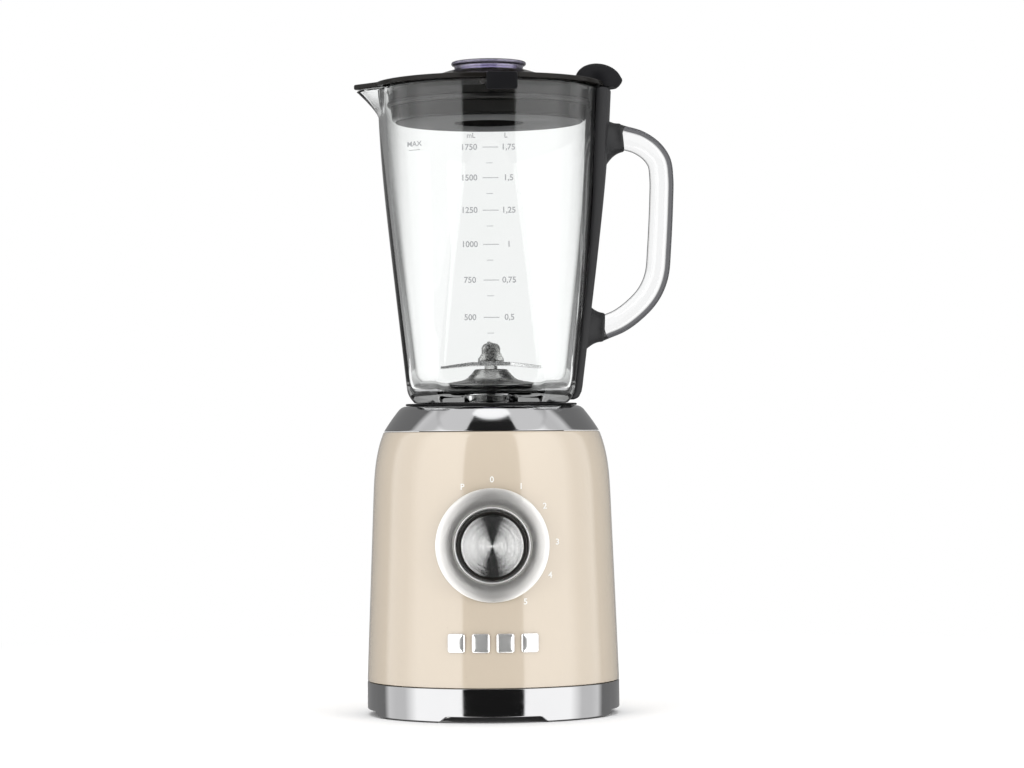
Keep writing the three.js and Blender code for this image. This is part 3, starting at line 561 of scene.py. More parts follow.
# %% Badge bars
def rounded_plate(width, height, corner, levels):
    """Rings of a rounded rectangle; each level is (inset, depth)."""
    rings = []
    for inset, depth in levels:
        w, h, c = width / 2 - inset, height / 2 - inset, max(corner - inset, 0.15)
        ring = []
        for sx, sz, start in ((1, 1, 0), (-1, 1, 90), (-1, -1, 180), (1, -1, 270)):
            for k in range(9):
                a = math.radians(start + k * 11.25)
                ring.append((sx * (w - c) + c * math.cos(a), -depth, sz * (h - c) + c * math.sin(a)))
        rings.append(ring)
    return loft(rings)


BADGE_BACK, BADGE_FACE, BADGE_PITCH, BADGE_HEIGHT, BADGE_CIRCLE = 77.4, 79.2, 14.6, 48, 77
levels = [(0, BADGE_BACK), (0, 78.0), (0.3, 78.45), (0.9, 78.8), (1.8, 79.05), (3.0, 79.17),
          (4.6, BADGE_FACE)]
for number in range(4):
    bar_verts, bar_faces = rounded_plate(11, 11.6, 1.6, levels)
    turn = math.asin((number - 1.5) * BADGE_PITCH / BADGE_CIRCLE)
    bar_verts = [(x * math.cos(turn) - y * math.sin(turn), x * math.sin(turn) + y * math.cos(turn),
                  z + BADGE_HEIGHT) for x, y, z in bar_verts]
    piece(f"badge_{number + 1}", (bar_verts, bar_faces), BADGE_STEEL, "base",
          [f"badge_bar_{number + 1}"], smooth=60)

# %% [markdown]
# ## Glass jug
# The jug is pressed glass: a cone that is cut by four flats, so its plan goes from a rounded square at the
# foot to a circle at the rim. Where a flat meets the cone there is a soft edge, so the two are joined with a
# rounded minimum instead of a plain one. The skin, the rim, the inside and the floor are one closed wall,
# because light only bends properly through glass that has both of its surfaces.

# %% Jug skin
JUG_FOOT, JUG_FLOOR, JUG_RIM, GLASS_WALL, NECK = 192.6, 199.0, 388.0, 4.5, 17.0
SPOUT_REACH, SPOUT_HALF = 14.2, math.radians(15)


def soft_min(a, b, k):
    h = max(k - abs(a - b), 0) / k
    return min(a, b) - h * h * k / 4


def flat_distance(z):
    return 52 + 0.1148 * (z - 204)


def cone_radius(z):
    return 69 - 0.043 * (374 - z)


def jug_radius(angle, z, inset=0.0):
    """Outside radius of the glass at an angle from the handle and a height, less an inset."""
    c, s = abs(math.cos(angle)), abs(math.sin(angle))
    flat = flat_distance(z) - inset
    square = soft_min(flat / max(c, 1e-3), flat / max(s, 1e-3), 6 + 3 * inset)
    body = soft_min(square, cone_radius(z) - inset, 2.4)
    body -= 4.2 * max(0, 1 - (z - JUG_FOOT) / 9) ** 2.2
    rise = max(0, min(1, (z - 371) / (JUG_RIM - 372)))
    from_spout = abs(math.pi - abs((angle + math.pi) % (2 * math.pi) - math.pi)) / SPOUT_HALF
    lip = math.sqrt(max(0, 1 - from_spout) ** 2 + 0.01) - 0.1
    return body + SPOUT_REACH * rise ** 1.3 * lip


def jug_section(angle):
    heights = [JUG_FOOT + 9 * (k / 9) ** 1.6 for k in range(10)]
    heights += [JUG_FOOT + 9 + k * (JUG_RIM - 1.6 - JUG_FOOT - 9) / 84 for k in range(1, 85)]
    outside = [(jug_radius(angle, z), z) for z in heights]
    lip = []
    top = jug_radius(angle, JUG_RIM)
    for k in range(1, 12):
        turn = math.pi * k / 12
        across = GLASS_WALL / 2 * (math.cos(turn) - 1)
        lip.append((top + across, JUG_RIM - 1.6 + 1.6 * math.sin(turn)))
    inside = [(jug_radius(angle, z, GLASS_WALL) if z < 371 else jug_radius(angle, z) - GLASS_WALL, z)
              for z in heights[:14:-1]]
    corner_r, corner_z = inside[-1]
    fillet = []
    start, pull = Vector((corner_r, corner_z)), Vector((corner_r - 0.8, JUG_FLOOR))
    end = Vector((corner_r - 7, JUG_FLOOR))
    for k in range(1, 9):
        t = k / 8
        bend = (1 - t) ** 2 * start + 2 * t * (1 - t) * pull + t * t * end
        fillet.append((bend.x, bend.y))
    floor = [(36, JUG_FLOOR), (28, JUG_FLOOR), (NECK + 0.5, JUG_FLOOR), (NECK, JUG_FLOOR - 0.5)]
    foot = [(NECK, JUG_FOOT + 0.5), (NECK + 0.5, JUG_FOOT), (32, JUG_FOOT), (44, JUG_FOOT)]
    return outside + lip + inside + fillet + floor + foot


piece("jug_glass", swirl(jug_section, 288), GLASS, "jug", ["glass_jug"], smooth=60)

# %% [markdown]
# ## Spine and grip
# A matte black spine hugs the jug's side wall from the collar to the lid and hides the straps that hold the
# grip. Its two bosses flare out like trumpets to the ends of the grip. The spine is a loft of level sections
# that follow the glass, and the bosses are tubes swept along a straight path with a radius that falls fast.

# %% Spine
SPINE_FOOT, SPINE_TOP, SPINE_HALF = 194.5, 387.4, 21.0


def wall_x(y, z):
    """How far out along +X the glass stands at a place beside the handle."""
    angle = 0.0
    for _ in range(6):
        angle = math.asin(y / jug_radius(angle, z))
    return jug_radius(angle, z) * math.cos(angle)


def spine_section(z, thin=0.0):
    depth = (4.6 + 2 * (z - SPINE_FOOT) / (SPINE_TOP - SPINE_FOOT)) - thin
    half = SPINE_HALF - thin
    ys = [half * (k / 10 - 1) for k in range(21)]
    inner = [(wall_x(y, z) + 0.3, y) for y in ys]
    outer = []
    for y in ys[::-1]:
        over = max(0.0, (abs(y) - half + 2.6) / 2.6)
        outer.append((wall_x(y, z) + 0.3 + depth * math.sqrt(1 - 0.85 * over ** 2.2) - 0.3, y))
    return [(x, y, z) for x, y in inner + outer]


spine_levels = [(SPINE_FOOT, 1.4), (SPINE_FOOT + 0.4, 0.6), (SPINE_FOOT + 1.4, 0.0)]
spine_levels += [(SPINE_FOOT + 1.4 + k * (SPINE_TOP - SPINE_FOOT - 2.8) / 60, 0.0) for k in range(1, 61)]
spine_levels += [(SPINE_TOP - 0.4, 0.6), (SPINE_TOP, 1.4)]
spine_skin = loft([spine_section(z, thin) for z, thin in spine_levels])
piece("spine", spine_skin, MATTE_BLACK, "jug", ["handle_spine"])

# %% Tubes along a path, and the two bosses
def swept(points, radii, sides=48):
    """A round tube through points, all in the plane y = 0, with a radius at each."""
    rings = []
    for i, (x, z) in enumerate(points):
        before, after = points[max(i - 1, 0)], points[min(i + 1, len(points) - 1)]
        along = Vector((after[0] - before[0], after[1] - before[1])).normalized()
        across = Vector((-along.y, along.x))
        ring = []
        for k in range(sides):
            a = 2 * math.pi * k / sides
            out, side = radii[i] * math.cos(a), radii[i] * math.sin(a)
            ring.append((x + across.x * out, side, z + across.y * out))
        rings.append(ring)
    return loft(rings)


GRIP_RADIUS = 7.5
TOP_BOSS, LOW_BOSS = ((66, 355.5), (83.2, 357.5), 19), ((54, 240), (70.9, 239.2), 18)
for name, (start, end, wide) in (("boss_upper", TOP_BOSS), ("boss_lower", LOW_BOSS)):
    path, radii = [], []
    for k in range(25):
        t = k / 24
        path.append((start[0] + (end[0] - start[0]) * t, start[1] + (end[1] - start[1]) * t))
        radii.append(min(wide, GRIP_RADIUS + 1.5 + 0.78 * wide * (1 - t) ** 2.2))
    radii[-1] -= 0.8
    radii[-2] -= 0.15
    piece(name, swept(path, radii), MATTE_BLACK, "jug")

# %% [markdown]
# ## Glass grip
# The grip is a solid glass rod bent into a D. Its path is a smooth curve through a few knots, and
# both ends run on inside the bosses. A bent rod mirrors the dark of the room along its outer side; here that
# is painted shade: the glass's colour goes darker at its rim there than on the inside of the bend.

# %% Bend and sweep the rod
grip_knots = [(83.2 - 5.74, 357.5 + 1.76), (83.2, 357.5), (93, 354.5), (101, 349), (105.8, 342), (107.2, 332),
              (107, 318), (105.4, 288), (104, 273), (101, 264), (96.3, 256.6), (88, 248.5), (80, 243),
              (70.9, 239.2), (70.9 - 5.54, 239.2 - 2.31)]


def smooth_path(knots, steps=10):
    """Points of a centripetal Catmull-Rom curve through the knots."""
    k = [Vector(p) for p in knots]
    k = [2 * k[0] - k[1], *k, 2 * k[-1] - k[-2]]
    made = []
    for i in range(1, len(k) - 2):
        t = [0.0]
        for j in range(3):
            t.append(t[-1] + (k[i + j] - k[i + j - 1]).length ** 0.5)
        for s in range(steps):
            u = t[1] + (t[2] - t[1]) * s / steps
            a = [(t[j + 1] - u) / (t[j + 1] - t[j]) * k[i + j - 1] + (u - t[j]) / (t[j + 1] - t[j]) * k[i + j]
                 for j in range(3)]
            b = [(t[j + 2] - u) / (t[j + 2] - t[j]) * a[j] + (u - t[j]) / (t[j + 2] - t[j]) * a[j + 1]
                 for j in range(2)]
            p = (t[2] - u) / (t[2] - t[1]) * b[0] + (u - t[1]) / (t[2] - t[1]) * b[1]
            made.append((p.x, p.y))
    made.append(tuple(k[-2]))
    return made


grip_path = smooth_path(grip_knots)


def rod_glass(middle):
    """Glass of a bent rod with painted shade: its colour goes dark at the edges, most on the edge away from
    the bend's middle.
    """
    f = Finish("rod_glass")
    wave = f.noise(30.0, 2.0)
    away = f.node("ShaderNodeVectorMath", {"operation": "SUBTRACT"}, f.point, tuple(middle))
    away = f.node("ShaderNodeVectorMath", {"operation": "MULTIPLY"}, away, (1.0, 1.0, 0.35))
    away = f.node("ShaderNodeVectorMath", {"operation": "NORMALIZE"}, away)
    normal = f.node("ShaderNodeNewGeometry", {}, out="Normal")
    normal = f.node("ShaderNodeVectorTransform", {"vector_type": "NORMAL", "convert_from": "WORLD",
                                                  "convert_to": "OBJECT"}, normal)
    outer = f.node("ShaderNodeVectorMath", {"operation": "DOT_PRODUCT"}, normal, away, out="Value")
    facing = f.node("ShaderNodeLayerWeight", {}, Blend=0.5, out="Facing")
    # Painted shade: the colour goes dark at the rim, and on the outer side of the bend it reaches much
    # further in.
    painted_outer_shade = f.ramp(facing, 0.11, 0.2) * f.ramp(outer, 0.1, 0.5)
    edge = painted_outer_shade.math("MAXIMUM", painted_outer_shade, f.ramp(facing, 0.45, 0.7))
    colour = f.blend(edge, (0.985, 0.988, 0.990), (0.012, 0.012, 0.014))
    return f.surface(Base_Color=colour, Roughness=0.0, IOR=1.5, Transmission_Weight=1.0,
                     Normal=f.bump(wave, 0.05 * MM, 0.5))


BEND_MIDDLE = 80
grip_middle = Vector((BEND_MIDDLE, 0, sum(z for _, z in grip_path) / len(grip_path))) * MM
ROD_GLASS = rod_glass(grip_middle)
piece("grip", swept(grip_path, [GRIP_RADIUS] * len(grip_path), 64), ROD_GLASS, "jug",
      ["handle_grip"], smooth=60)

# %% [markdown]
# ## Lid
# The lid is a thin black flange with a deep plug that seals inside the jug. A beak on the flange covers the
# pouring spout. The flange and plug are turned, with the beak worked in as a bulge of the radius at one
# angle. A small tab at the front and a rounded thumb hood over the spine are mouldings of their own.

# %% Lid flange, dome and plug
LID_UNDER, LID_RADIUS, BEAK_REACH, BEAK_FLAT = 388.6, 72, 84, 2
CAP_HOLE, PLUG_FOOT = 21.9, 367.4
BEAK_HALF = math.radians(14)


def lid_section(angle):
    """The lid's section at an angle: over the spout a straight-sided beak reaches past the round rim."""
    from_beak = abs(math.pi - abs((angle + math.pi) % (2 * math.pi) - math.pi))
    rim = LID_RADIUS
    if from_beak < BEAK_HALF:
        tip = Vector((BEAK_REACH, BEAK_FLAT))
        edge = LID_RADIUS * Vector((math.cos(BEAK_HALF), math.sin(BEAK_HALF)))
        along = edge - tip
        ray = Vector((math.cos(from_beak), math.sin(from_beak)))
        flank = (tip.x * along.y - tip.y * along.x) / (ray.x * along.y - ray.y * along.x)
        rim = max(LID_RADIUS, min(flank, BEAK_REACH / ray.x))
    plug = [(CAP_HOLE, PLUG_FOOT, 0.1), (58.6, PLUG_FOOT, 0.8), (60.4, 368.6, 1.0), (61.3, 376, 0.2),
            (60, 376.05, 0.1), (60, 380, 0.1), (61.8, 380.05, 0.2), (62.4, LID_UNDER - 0.6, 0.4)]
    top = [(rim, LID_UNDER, 0.8), (rim, LID_UNDER + 2.9, 1.2), (69, 391.8, 1.5), (40, 394.6, 6),
           (25, 399.4, 1.2), (CAP_HOLE, 399.4, 0.4)]
    return rounded(plug + top, 0.5)


piece("lid_main", swirl(lid_section, 300), GLOSS_BLACK, "lid", ["lid"], smooth=50)

floor_disc = [(CAP_HOLE, 367.0, 0.1), (58.2, 367.0, 0.2), (58.2, 367.35, 0.1), (CAP_HOLE, 367.35, 0.1)]
piece("lid_floor", turned(rounded(floor_disc, 0.1), 144), DEEP_BLACK, "lid")

# %% Tab and its lug
tab_levels = [(0, 69.9), (0, 72.4), (0.25, 73.0), (0.9, 73.3)]
tab = rounded_plate(18.7, 10.4, 1.4, tab_levels)
piece("lid_tab", moved(tab, 8, 0, 386.4), DEEP_BLACK, "lid")
lug = [(0.01, 70, 0), (1.5, 70, 0), (1.5, 71.6, 0.3), (1.1, 72.1, 0.3), (0.01, 72.2, 0)]
piece("lid_lug", moved(face_front(turned(rounded(lug, 0.2), 32), 386), -3.6, 0, 0), SILICONE, "lid")

# %% Thumb hood
HOOD_X, HOOD_Z, HOOD_RISE, HOOD_DROP, HOOD_LONG, HOOD_WIDE = 68.6, 390.4, 13.4, 1.9, 15, 13


def hood_ring(level):
    """An oval of the domed hood; its outer side tucks in at the foot and leans back at the top."""
    lift = (HOOD_RISE + HOOD_DROP) * math.sin(math.pi / 2 * level / 24) - HOOD_DROP
    wide = math.sqrt(max(0.0, 1 - (max(lift, 0) / HOOD_RISE) ** 2.4))
    wide = max(wide, 0.02) * (0.97 if level == 0 else 1)
    tuck = 0.22 * max(0.0, 1 - (lift + HOOD_DROP) / 5) ** 1.5
    ring = []
    for j in range(64):
        c, s = math.cos(2 * math.pi * j / 64), math.sin(2 * math.pi * j / 64)
        ring.append((HOOD_X + HOOD_LONG * wide * c * (1 - tuck * max(c, 0)), HOOD_WIDE * wide * s,
                     HOOD_Z + lift - (1.2 * wide * c if lift > 4 else 0)))
    return ring


piece("lid_hood", loft([hood_ring(k) for k in range(25)]), DEEP_BLACK, "lid", smooth=50)

# %% [markdown]
# ## Seal and filler cap
# A soft lip runs round the plug and grips the glass. The cap is a clear tube with a flanged top that drops
# through the hole in the lid and is hollow from below, so it is turned from one closed profile.

# %% Seal and cap
seal = [(60.3, 376.3, 0.3), (62.8, 376.3, 0.5), (63.6, 377.4, 0.6), (62.8, 379.7, 0.5), (60.3, 379.7, 0.3)]
piece("lid_lip", turned(rounded(seal, 0.4)), SILICONE, "lid", ["lid_seal"])
cap_profile = [(0.01, 405.5, 0), (20.6, 405.5, 1.5), (22.9, 405.1, 0.8), (23.4, 404.1, 0.7),
               (23.0, 403.0, 0.6), (21.5, 402.5, 0.6), (21.3, 400.4, 0.5), (20.9, 400.2, 0.3),
               (20.9, 372, 0.5), (20.2, 371.2, 0.4), (18.6, 371.2, 0.4), (18.6, 402.6, 1),
               (0.01, 402.9, 0)]
piece("cap", turned(rounded(cap_profile, 0.6)), SMOKY, "cap", ["filler_cap"])

# %% [markdown]
# ## Blade unit and drive
# A steel holder screws through the glass floor with a gasket under its flange, and a domed nut keeps the
# blades on their shaft. The blades are cut from sheet, bent up and ground on one side, so each is a loft of
# sections along its length that thin to the cutting edge.

# %% Holder, gasket and nut
holder = [(7.2, 184, 0.3), (14, 184, 0.5), (14, 200.6, 0.3), (27, 200.6, 0.3), (28, 201.3, 0.4),
          (27, 202, 0.6), (16, 205, 3), (10, 214, 0.8), (7.2, 214, 0.4)]
piece("holder", turned(rounded(holder, 0.6), 96), STEEL, "jug", ["blade_holder"])
gasket = [(14.4, 199.3, 0.2), (26, 199.3, 0.3), (26.4, 199.8, 0.3), (26, 200.3, 0.3), (14.4, 200.3, 0.2)]
piece("gasket", turned(rounded(gasket, 0.3), 96), RUBBER, "jug", ["blade_gasket"])
NUT_BOTTOM, NUT_TOP = 220.8, 230.0
nut_levels = ((3.1, NUT_BOTTOM), (5.5, NUT_BOTTOM), (5.8, NUT_BOTTOM + 0.4), (5.8, NUT_TOP - 3),
              (5.2, NUT_TOP - 1.8), (4.2, NUT_TOP - 0.6), (2.4, NUT_TOP - 0.05), (0.02, NUT_TOP))
round_plan = [(math.cos(math.pi * j / 18), math.sin(math.pi * j / 18)) for j in range(36)]
piece("nut", loft([[(x * r, y * r, z) for x, y in round_plan] for r, z in nut_levels]), STEEL, "blades",
      ["blade_nut"])

# %% Cross blades
BLADE_THICK, BLADE_FOLD = 1.8, 12.0


def blade_section(x, reach, slope):
    """Section across a blade: the leading side of each arm is ground thin."""
    out = abs(x)
    lift = max(0.0, out - BLADE_FOLD) * slope
    t = max(0.0, out - BLADE_FOLD) / (reach - BLADE_FOLD)
    lead, trail = 8 - 5 * t ** 1.3, 8 - 6 * t ** 0.8
    ground = ease((out - BLADE_FOLD) / 4)
    edge, width = BLADE_THICK * (1 - 0.88 * ground), 0.3 + 3.6 * ground
    left = (-trail, BLADE_THICK, 0.3) if x > 0 else (-lead, edge, width)
    right = (lead, edge, width) if x > 0 else (trail, BLADE_THICK, 0.3)
    return [(left[0], lift), (left[0], lift + left[1] * 0.9), (left[0] + left[2], lift + BLADE_THICK),
            (right[0] - right[2], lift + BLADE_THICK), (right[0], lift + right[1] * 0.9), (right[0], lift)]


def blade(reach, bottom, slope, turn):
    stations = [-reach, -reach + 0.4] + [reach * k / 24 for k in range(-23, 24)] + [reach - 0.4, reach]
    rings = []
    for x in stations:
        section = blade_section(x, reach, slope)
        rings.append([(x * math.cos(turn) - y * math.sin(turn), x * math.sin(turn) + y * math.cos(turn),
                       bottom + z) for y, z in section])
    return loft(rings)


piece("blade_flat", blade(33, 216.3, -0.1, 0), EDGE_STEEL, "blades", ["blade_lower"],
      smooth=25)
piece("blade_raised", blade(30, 218.5, 0.55, math.pi / 2), EDGE_STEEL, "blades",
      ["blade_upper"], smooth=25)

# %% [markdown]
# ## Collar, drive well and seat
# The collar under the jug takes the holder's thread. Its side has twelve round flutes for the fingers, each
# a circle scooped out of the radius. It drops into a black well in the deck, past a rubber seat, and one hole
# in the well's floor lets the interlock plunger through. The rubber gland behind is the cord's way in.

# %% Fluted collar
COLLAR_RADIUS, FLUTE_CIRCLE, FLUTE_RADIUS, FLUTES = 40, 42.2, 3.4, 12


def collar_section(angle):
    pitch = 2 * math.pi / FLUTES
    off = (angle + pitch / 2) % pitch - pitch / 2
    inside = FLUTE_RADIUS ** 2 - (FLUTE_CIRCLE * math.sin(off)) ** 2
    scoop = FLUTE_CIRCLE * math.cos(off) - math.sqrt(inside) if inside > 0 else COLLAR_RADIUS
    side = min(COLLAR_RADIUS, scoop)
    return rounded([(14.4, 185.6, 0.3), (14.4, 192.3, 0.3), (38, 192.3, 1), (COLLAR_RADIUS, 190.3, 0.8),
                    (COLLAR_RADIUS, 189.2, 0.2), (side, 188.8, 0.2), (side, 173.7, 0.3),
                    (min(38.6, side), 172.3, 0.3), (20, 172.3, 0.6), (20, 185.6, 0.4)], 0.5)


piece("collar", swirl(collar_section, 360), MATTE_BLACK, "jug", ["jug_collar"])

# %% Drive well, seat and cord entry
PLUNGER_Y = 34
well = [(9, 165.5, 0.4), (45.1, 165.5, 1), (45.1, 190.4, 0.4), (42.9, 190.4, 0.6), (42.9, 168, 2),
        (9, 168, 0.6)]
drive_well = piece("well", turned(rounded(well, 0.6), 96), MATTE_BLACK, "base",
                   ["drive_well"])
plunger_hole = turned([(0.01, 150), (3.4, 150), (3.4, 190), (0.01, 190)], 32)
cut(drive_well, moved(plunger_hole, 0, PLUNGER_Y, 0))
pad = [(46, 191.1, 0.3), (53, 191.1, 0.3), (53.4, 191.7, 0.3), (53, 192.3, 0.4), (46, 192.3, 0.4)]
piece("pad", turned(rounded(pad, 0.3), 144), RUBBER, "base", ["seat_pad"])
entry = [(0.01, 66, 0), (11, 66, 0.4), (11, 71.5, 0.4), (8, 72.5, 0.3), (8, 78.8, 0.3), (11.5, 78.9, 0.5),
         (10.8, 81.6, 1.2), (3.6, 81.6, 0.6), (3.6, 78.9, 0.3), (0.01, 78.9, 0)]
entry_verts, entry_faces = face_front(turned(rounded(entry, 0.3), 72), GLAND_HEIGHT)
piece("entry", ([(x, -y, z) for x, y, z in entry_verts], entry_faces), RUBBER, "base",
      ["cord_gland"])

# %% [markdown]
# ## Underside
# A plastic plate closes the bottom, with slots that let the fan's air out, and four rubber feet stand on a
# circle on the diagonals. The slots are real openings, so they are cut through with the boolean tool.

# %% Bottom plate and feet
plate = [(0.01, 2, 0), (54, 2, 1), (64, 3.6, 1), (76.3, 3.6, 0.4), (76.3, 5, 0.4), (0.01, 5, 0)]
underside = piece("underside", turned(rounded(plate, 0.4), 144), MATTE_BLACK, "base",
                  ["bottom_plate"])


def block(low, high):
    corners = [(x, y, z) for x in (low[0], high[0]) for y in (low[1], high[1]) for z in (low[2], high[2])]
    return corners, [(0, 1, 3, 2), (4, 6, 7, 5), (0, 4, 5, 1), (2, 3, 7, 6), (0, 2, 6, 4), (1, 5, 7, 3)]


SLOT_HALF = 2
for x in (-30, -20, -10, 10, 20, 30):
    reach = (60 - abs(x)) / 2
    cut(underside, block((x - SLOT_HALF, -reach, 0), (x + SLOT_HALF, reach, 8)))
FOOT_CIRCLE, SCREW_CIRCLE, SCREW_LAG = 62, 66, 0.32
foot_pocket = turned([(0.01, 0), (10.6, 0), (10.6, 3.4), (0.01, 3.4)], 48)
screw_hole = turned([(0.01, 0), (4.9, 0), (4.9, 3.6), (0.01, 3.6)], 32)
foot_profile = [(0.01, 0, 0), (3, 0, 0.2), (3.4, 0.5, 0.2), (6, 0.5, 0.2), (6.4, 0, 0.2), (9, 0, 0.6),
                (10, 1, 0.6), (10, 3.1, 0.3), (0.01, 3.1, 0)]
foot = turned(rounded(foot_profile, 0.3), 64)


def on_circle(radius, angle):
    return radius * math.cos(angle), radius * math.sin(angle), 0


for number in range(4):
    angle = math.radians(45 + 90 * number)
    cut(underside, moved(foot_pocket, *on_circle(FOOT_CIRCLE, angle)))
    cut(underside, moved(screw_hole, *on_circle(SCREW_CIRCLE, angle + SCREW_LAG)))
    piece(f"foot_{number + 1}", moved(foot, *on_circle(FOOT_CIRCLE, angle)), RUBBER, "base",
          [f"rubber_foot_{number + 1}"])

# %% [markdown]
# ## Figures on the dial and on the glass
# Small white figures are screen printed round the dial and on the jug. Each is a text outline that is turned
# into a thin mesh and bent onto the round surface, a tenth of a millimetre proud, as ink is. The figures are
# plain settings and measures.

# %% Print on a curved surface
def ink(name, base, rough):
    f = Finish(name)
    grain = f.noise(1200.0, 2.0)
    return f.surface(Base_Color=f.blend(grain, base, darker(base, 0.9)), Roughness=rough,
                     Normal=f.bump(grain, 0.01 * MM, 0.5))


WHITE_INK = ink("white_ink", (0.92, 0.91, 0.88), 0.4)
GREY_INK = ink("grey_ink", (0.36, 0.37, 0.38), 0.45)


def outline_of(words, size):
    """Flat vertices and faces of a text in millimetres, centred on its origin, cut finely for bending."""
    curve = bpy.data.curves.new(words, "FONT")
    curve.body, curve.size, curve.align_x, curve.align_y = words, size, "CENTER", "CENTER"
    curve.resolution_u, curve.offset = 6, 0.018 * size
    text = bpy.data.objects.new(words, curve)
    bpy.context.scene.collection.objects.link(text)
    bpy.context.view_layer.update()
    mesh = bpy.data.meshes.new_from_object(text.evaluated_get(bpy.context.evaluated_depsgraph_get()))
    verts = [(v.co.x, v.co.y) for v in mesh.vertices]
    faces = [tuple(p.vertices) for p in mesh.polygons]
    bpy.data.objects.remove(text)
    bpy.data.meshes.remove(mesh)
    return verts, faces


def bar(width, height):
    """A flat rectangle in six strips, so that it can bend."""
    xs = [width * (k / 6 - 0.5) for k in range(7)]
    verts = [(x, y) for y in (-height / 2, height / 2) for x in xs]
    return verts, [(k, k + 1, k + 8, k + 7) for k in range(6)]


def printed(name, marks, onto, material, body, proud=0.1):
    """Flat marks [(shape, x, z)] put on a surface y = onto(x, z), as one thin piece."""
    verts, faces = [], []
    for (flat, flat_faces), x0, z0 in marks:
        start = len(verts)
        for u, v in flat:
            verts.append((x0 + u, onto(x0 + u, z0 + v) - proud, z0 + v))
        faces += [tuple(start + i for i in face) for face in flat_faces]
    return piece(name, (verts, faces), material, body)


def on_housing(x, z):
    return -math.sqrt(shell_radius(z) ** 2 - x * x)


def on_jug(x, z):
    angle = -math.pi / 2
    for _ in range(8):
        angle = -math.acos(x / jug_radius(angle, z))
    return jug_radius(angle, z) * math.sin(angle)


# %% Dial figures
FIGURE_CIRCLE, FIGURE_SIZE = 39.3, 5.0
marks = []
for figure, setting in (("P", -27), ("0", 0), ("1", 26.5), ("2", 54), ("3", 88), ("4", 118), ("5", 150)):
    angle = math.radians(setting)
    marks.append((outline_of(figure, FIGURE_SIZE), FIGURE_CIRCLE * math.sin(angle),
                  DIAL_HEIGHT + FIGURE_CIRCLE * math.cos(angle)))
printed("dial_figures", marks, on_housing, WHITE_INK, "base")

# %% Measuring marks
HEADING_SIZE, HEADING_Z, MAX_X, MAX_Z = 4.2, 353.4, -45.6, 346.4
marks = [(outline_of("mL", HEADING_SIZE), -11, HEADING_Z), (outline_of("L", HEADING_SIZE), 10, HEADING_Z),
         (outline_of("MAX", HEADING_SIZE), MAX_X, MAX_Z + 3.6), (bar(7, 0.4), MAX_X, MAX_Z)]
for millilitres, litres, level in (("1750", "1,75", 346.4), ("1500", "1,5", 328), ("1250", "1,25", 308.5),
                                   ("1000", "1", 288), ("750", "0,75", 266.5), ("500", "0,5", 244)):
    marks += [(outline_of(millilitres, FIGURE_SIZE), -12.3, level), (bar(9.6, 0.45), 0.6, level),
              (outline_of(litres, FIGURE_SIZE), 11.5, level), (bar(4, 0.35), 0, level - 9.5)]
printed("measures", marks, on_jug, GREY_INK, "jug")

# %% [markdown]
# ## Finishes for the inner works
# The motor, switches and fasteners keep their engineering shapes. Each group gets a finish with its own
# detail: stacked sheet for the laminations, wound wire for the coils, sand-cast skin for the brackets. A
# small bevel on their edges catches light where the slots and the well let it in.

# %% Inner finishes
def laminations():
    f = Finish("laminations")
    _, _, z = f.axes()
    sheet = 0.3 * MM
    sheets = z.math("PINGPONG", z, sheet) * (1 / sheet)
    rust = f.noise(80.0, 5.0)
    colour = f.blend(f.ramp(rust, 0.55, 0.75), (0.20, 0.20, 0.21), (0.26, 0.17, 0.12))
    return f.surface(Base_Color=colour, Metallic=0.9, Roughness=f.ramp(rust, 0.3, 0.7, 0.38, 0.6),
                     Normal=f.bump(sheets, 0.05 * MM, 0.7))


def wound_copper():
    f = Finish("copper_wire")
    x, _, z = f.axes()
    wire = 0.35 * MM
    across = x.math("PINGPONG", x + z, wire) * (1 / wire)
    dull = f.noise(120.0, 4.0)
    colour = f.blend(across * 0.6 + dull * 0.4, (0.50, 0.20, 0.09), (0.80, 0.40, 0.20))
    return f.surface(Base_Color=colour, Metallic=1.0, Roughness=f.ramp(dull, 0.3, 0.7, 0.25, 0.4),
                     Normal=f.bump(across, 0.12 * MM, 0.9))


def cast(name, base, metal, rough, grain, depth):
    f = Finish(name)
    skin = f.noise(grain, 5.0, roughness=0.65)
    patch = f.noise(30.0, 3.0)
    colour = f.blend(patch, base, darker(base, 0.8))
    return f.surface(Base_Color=colour, Metallic=metal, Roughness=f.ramp(skin, 0.3, 0.7, *rough),
                     Normal=f.bump(skin, depth, 0.8))


INNER = {
    "cream_enamel": ENAMEL, "chrome_trim": CHROME, "satin_steel": SPUN_STEEL, "plain_steel": STEEL,
    "cast_aluminium": cast("cast_aluminium", (0.48, 0.48, 0.49), 1.0, (0.38, 0.55), 500.0, 0.08 * MM),
    "laminations": laminations(), "copper_wire": wound_copper(),
    "brass": cast("brass", (0.72, 0.52, 0.24), 1.0, (0.2, 0.36), 300.0, 0.02 * MM),
    "carbon": cast("carbon", (0.04, 0.04, 0.045), 0.2, (0.6, 0.8), 1200.0, 0.04 * MM),
    "board": cast("board", (0.03, 0.16, 0.07), 0.0, (0.3, 0.45), 600.0, 0.02 * MM),
    "black_plastic": MATTE_BLACK, "gloss_black": GLOSS_BLACK, "smoky_plastic": SMOKY, "clear_glass": GLASS,
    "silicone": SILICONE, "black_rubber": RUBBER,
}

# %% Put the finishes on the pieces that are left
slot_of = {entry["node"]: entry["material_slot"] for entry in frame["record"]["subparts"]}
kept = {name: node for name, node in frame["nodes"].items() if not node.hide_render}
for name, node in kept.items():
    node.data.materials.clear()
    node.data.materials.append(INNER[slot_of[name]])
    edge = node.modifiers.new("soft edges", "BEVEL")
    edge.width, edge.segments, edge.limit_method = 0.25 * MM, 2, "ANGLE"
    edge.angle_limit = math.radians(35)
print("engineering pieces dressed:", len(kept))

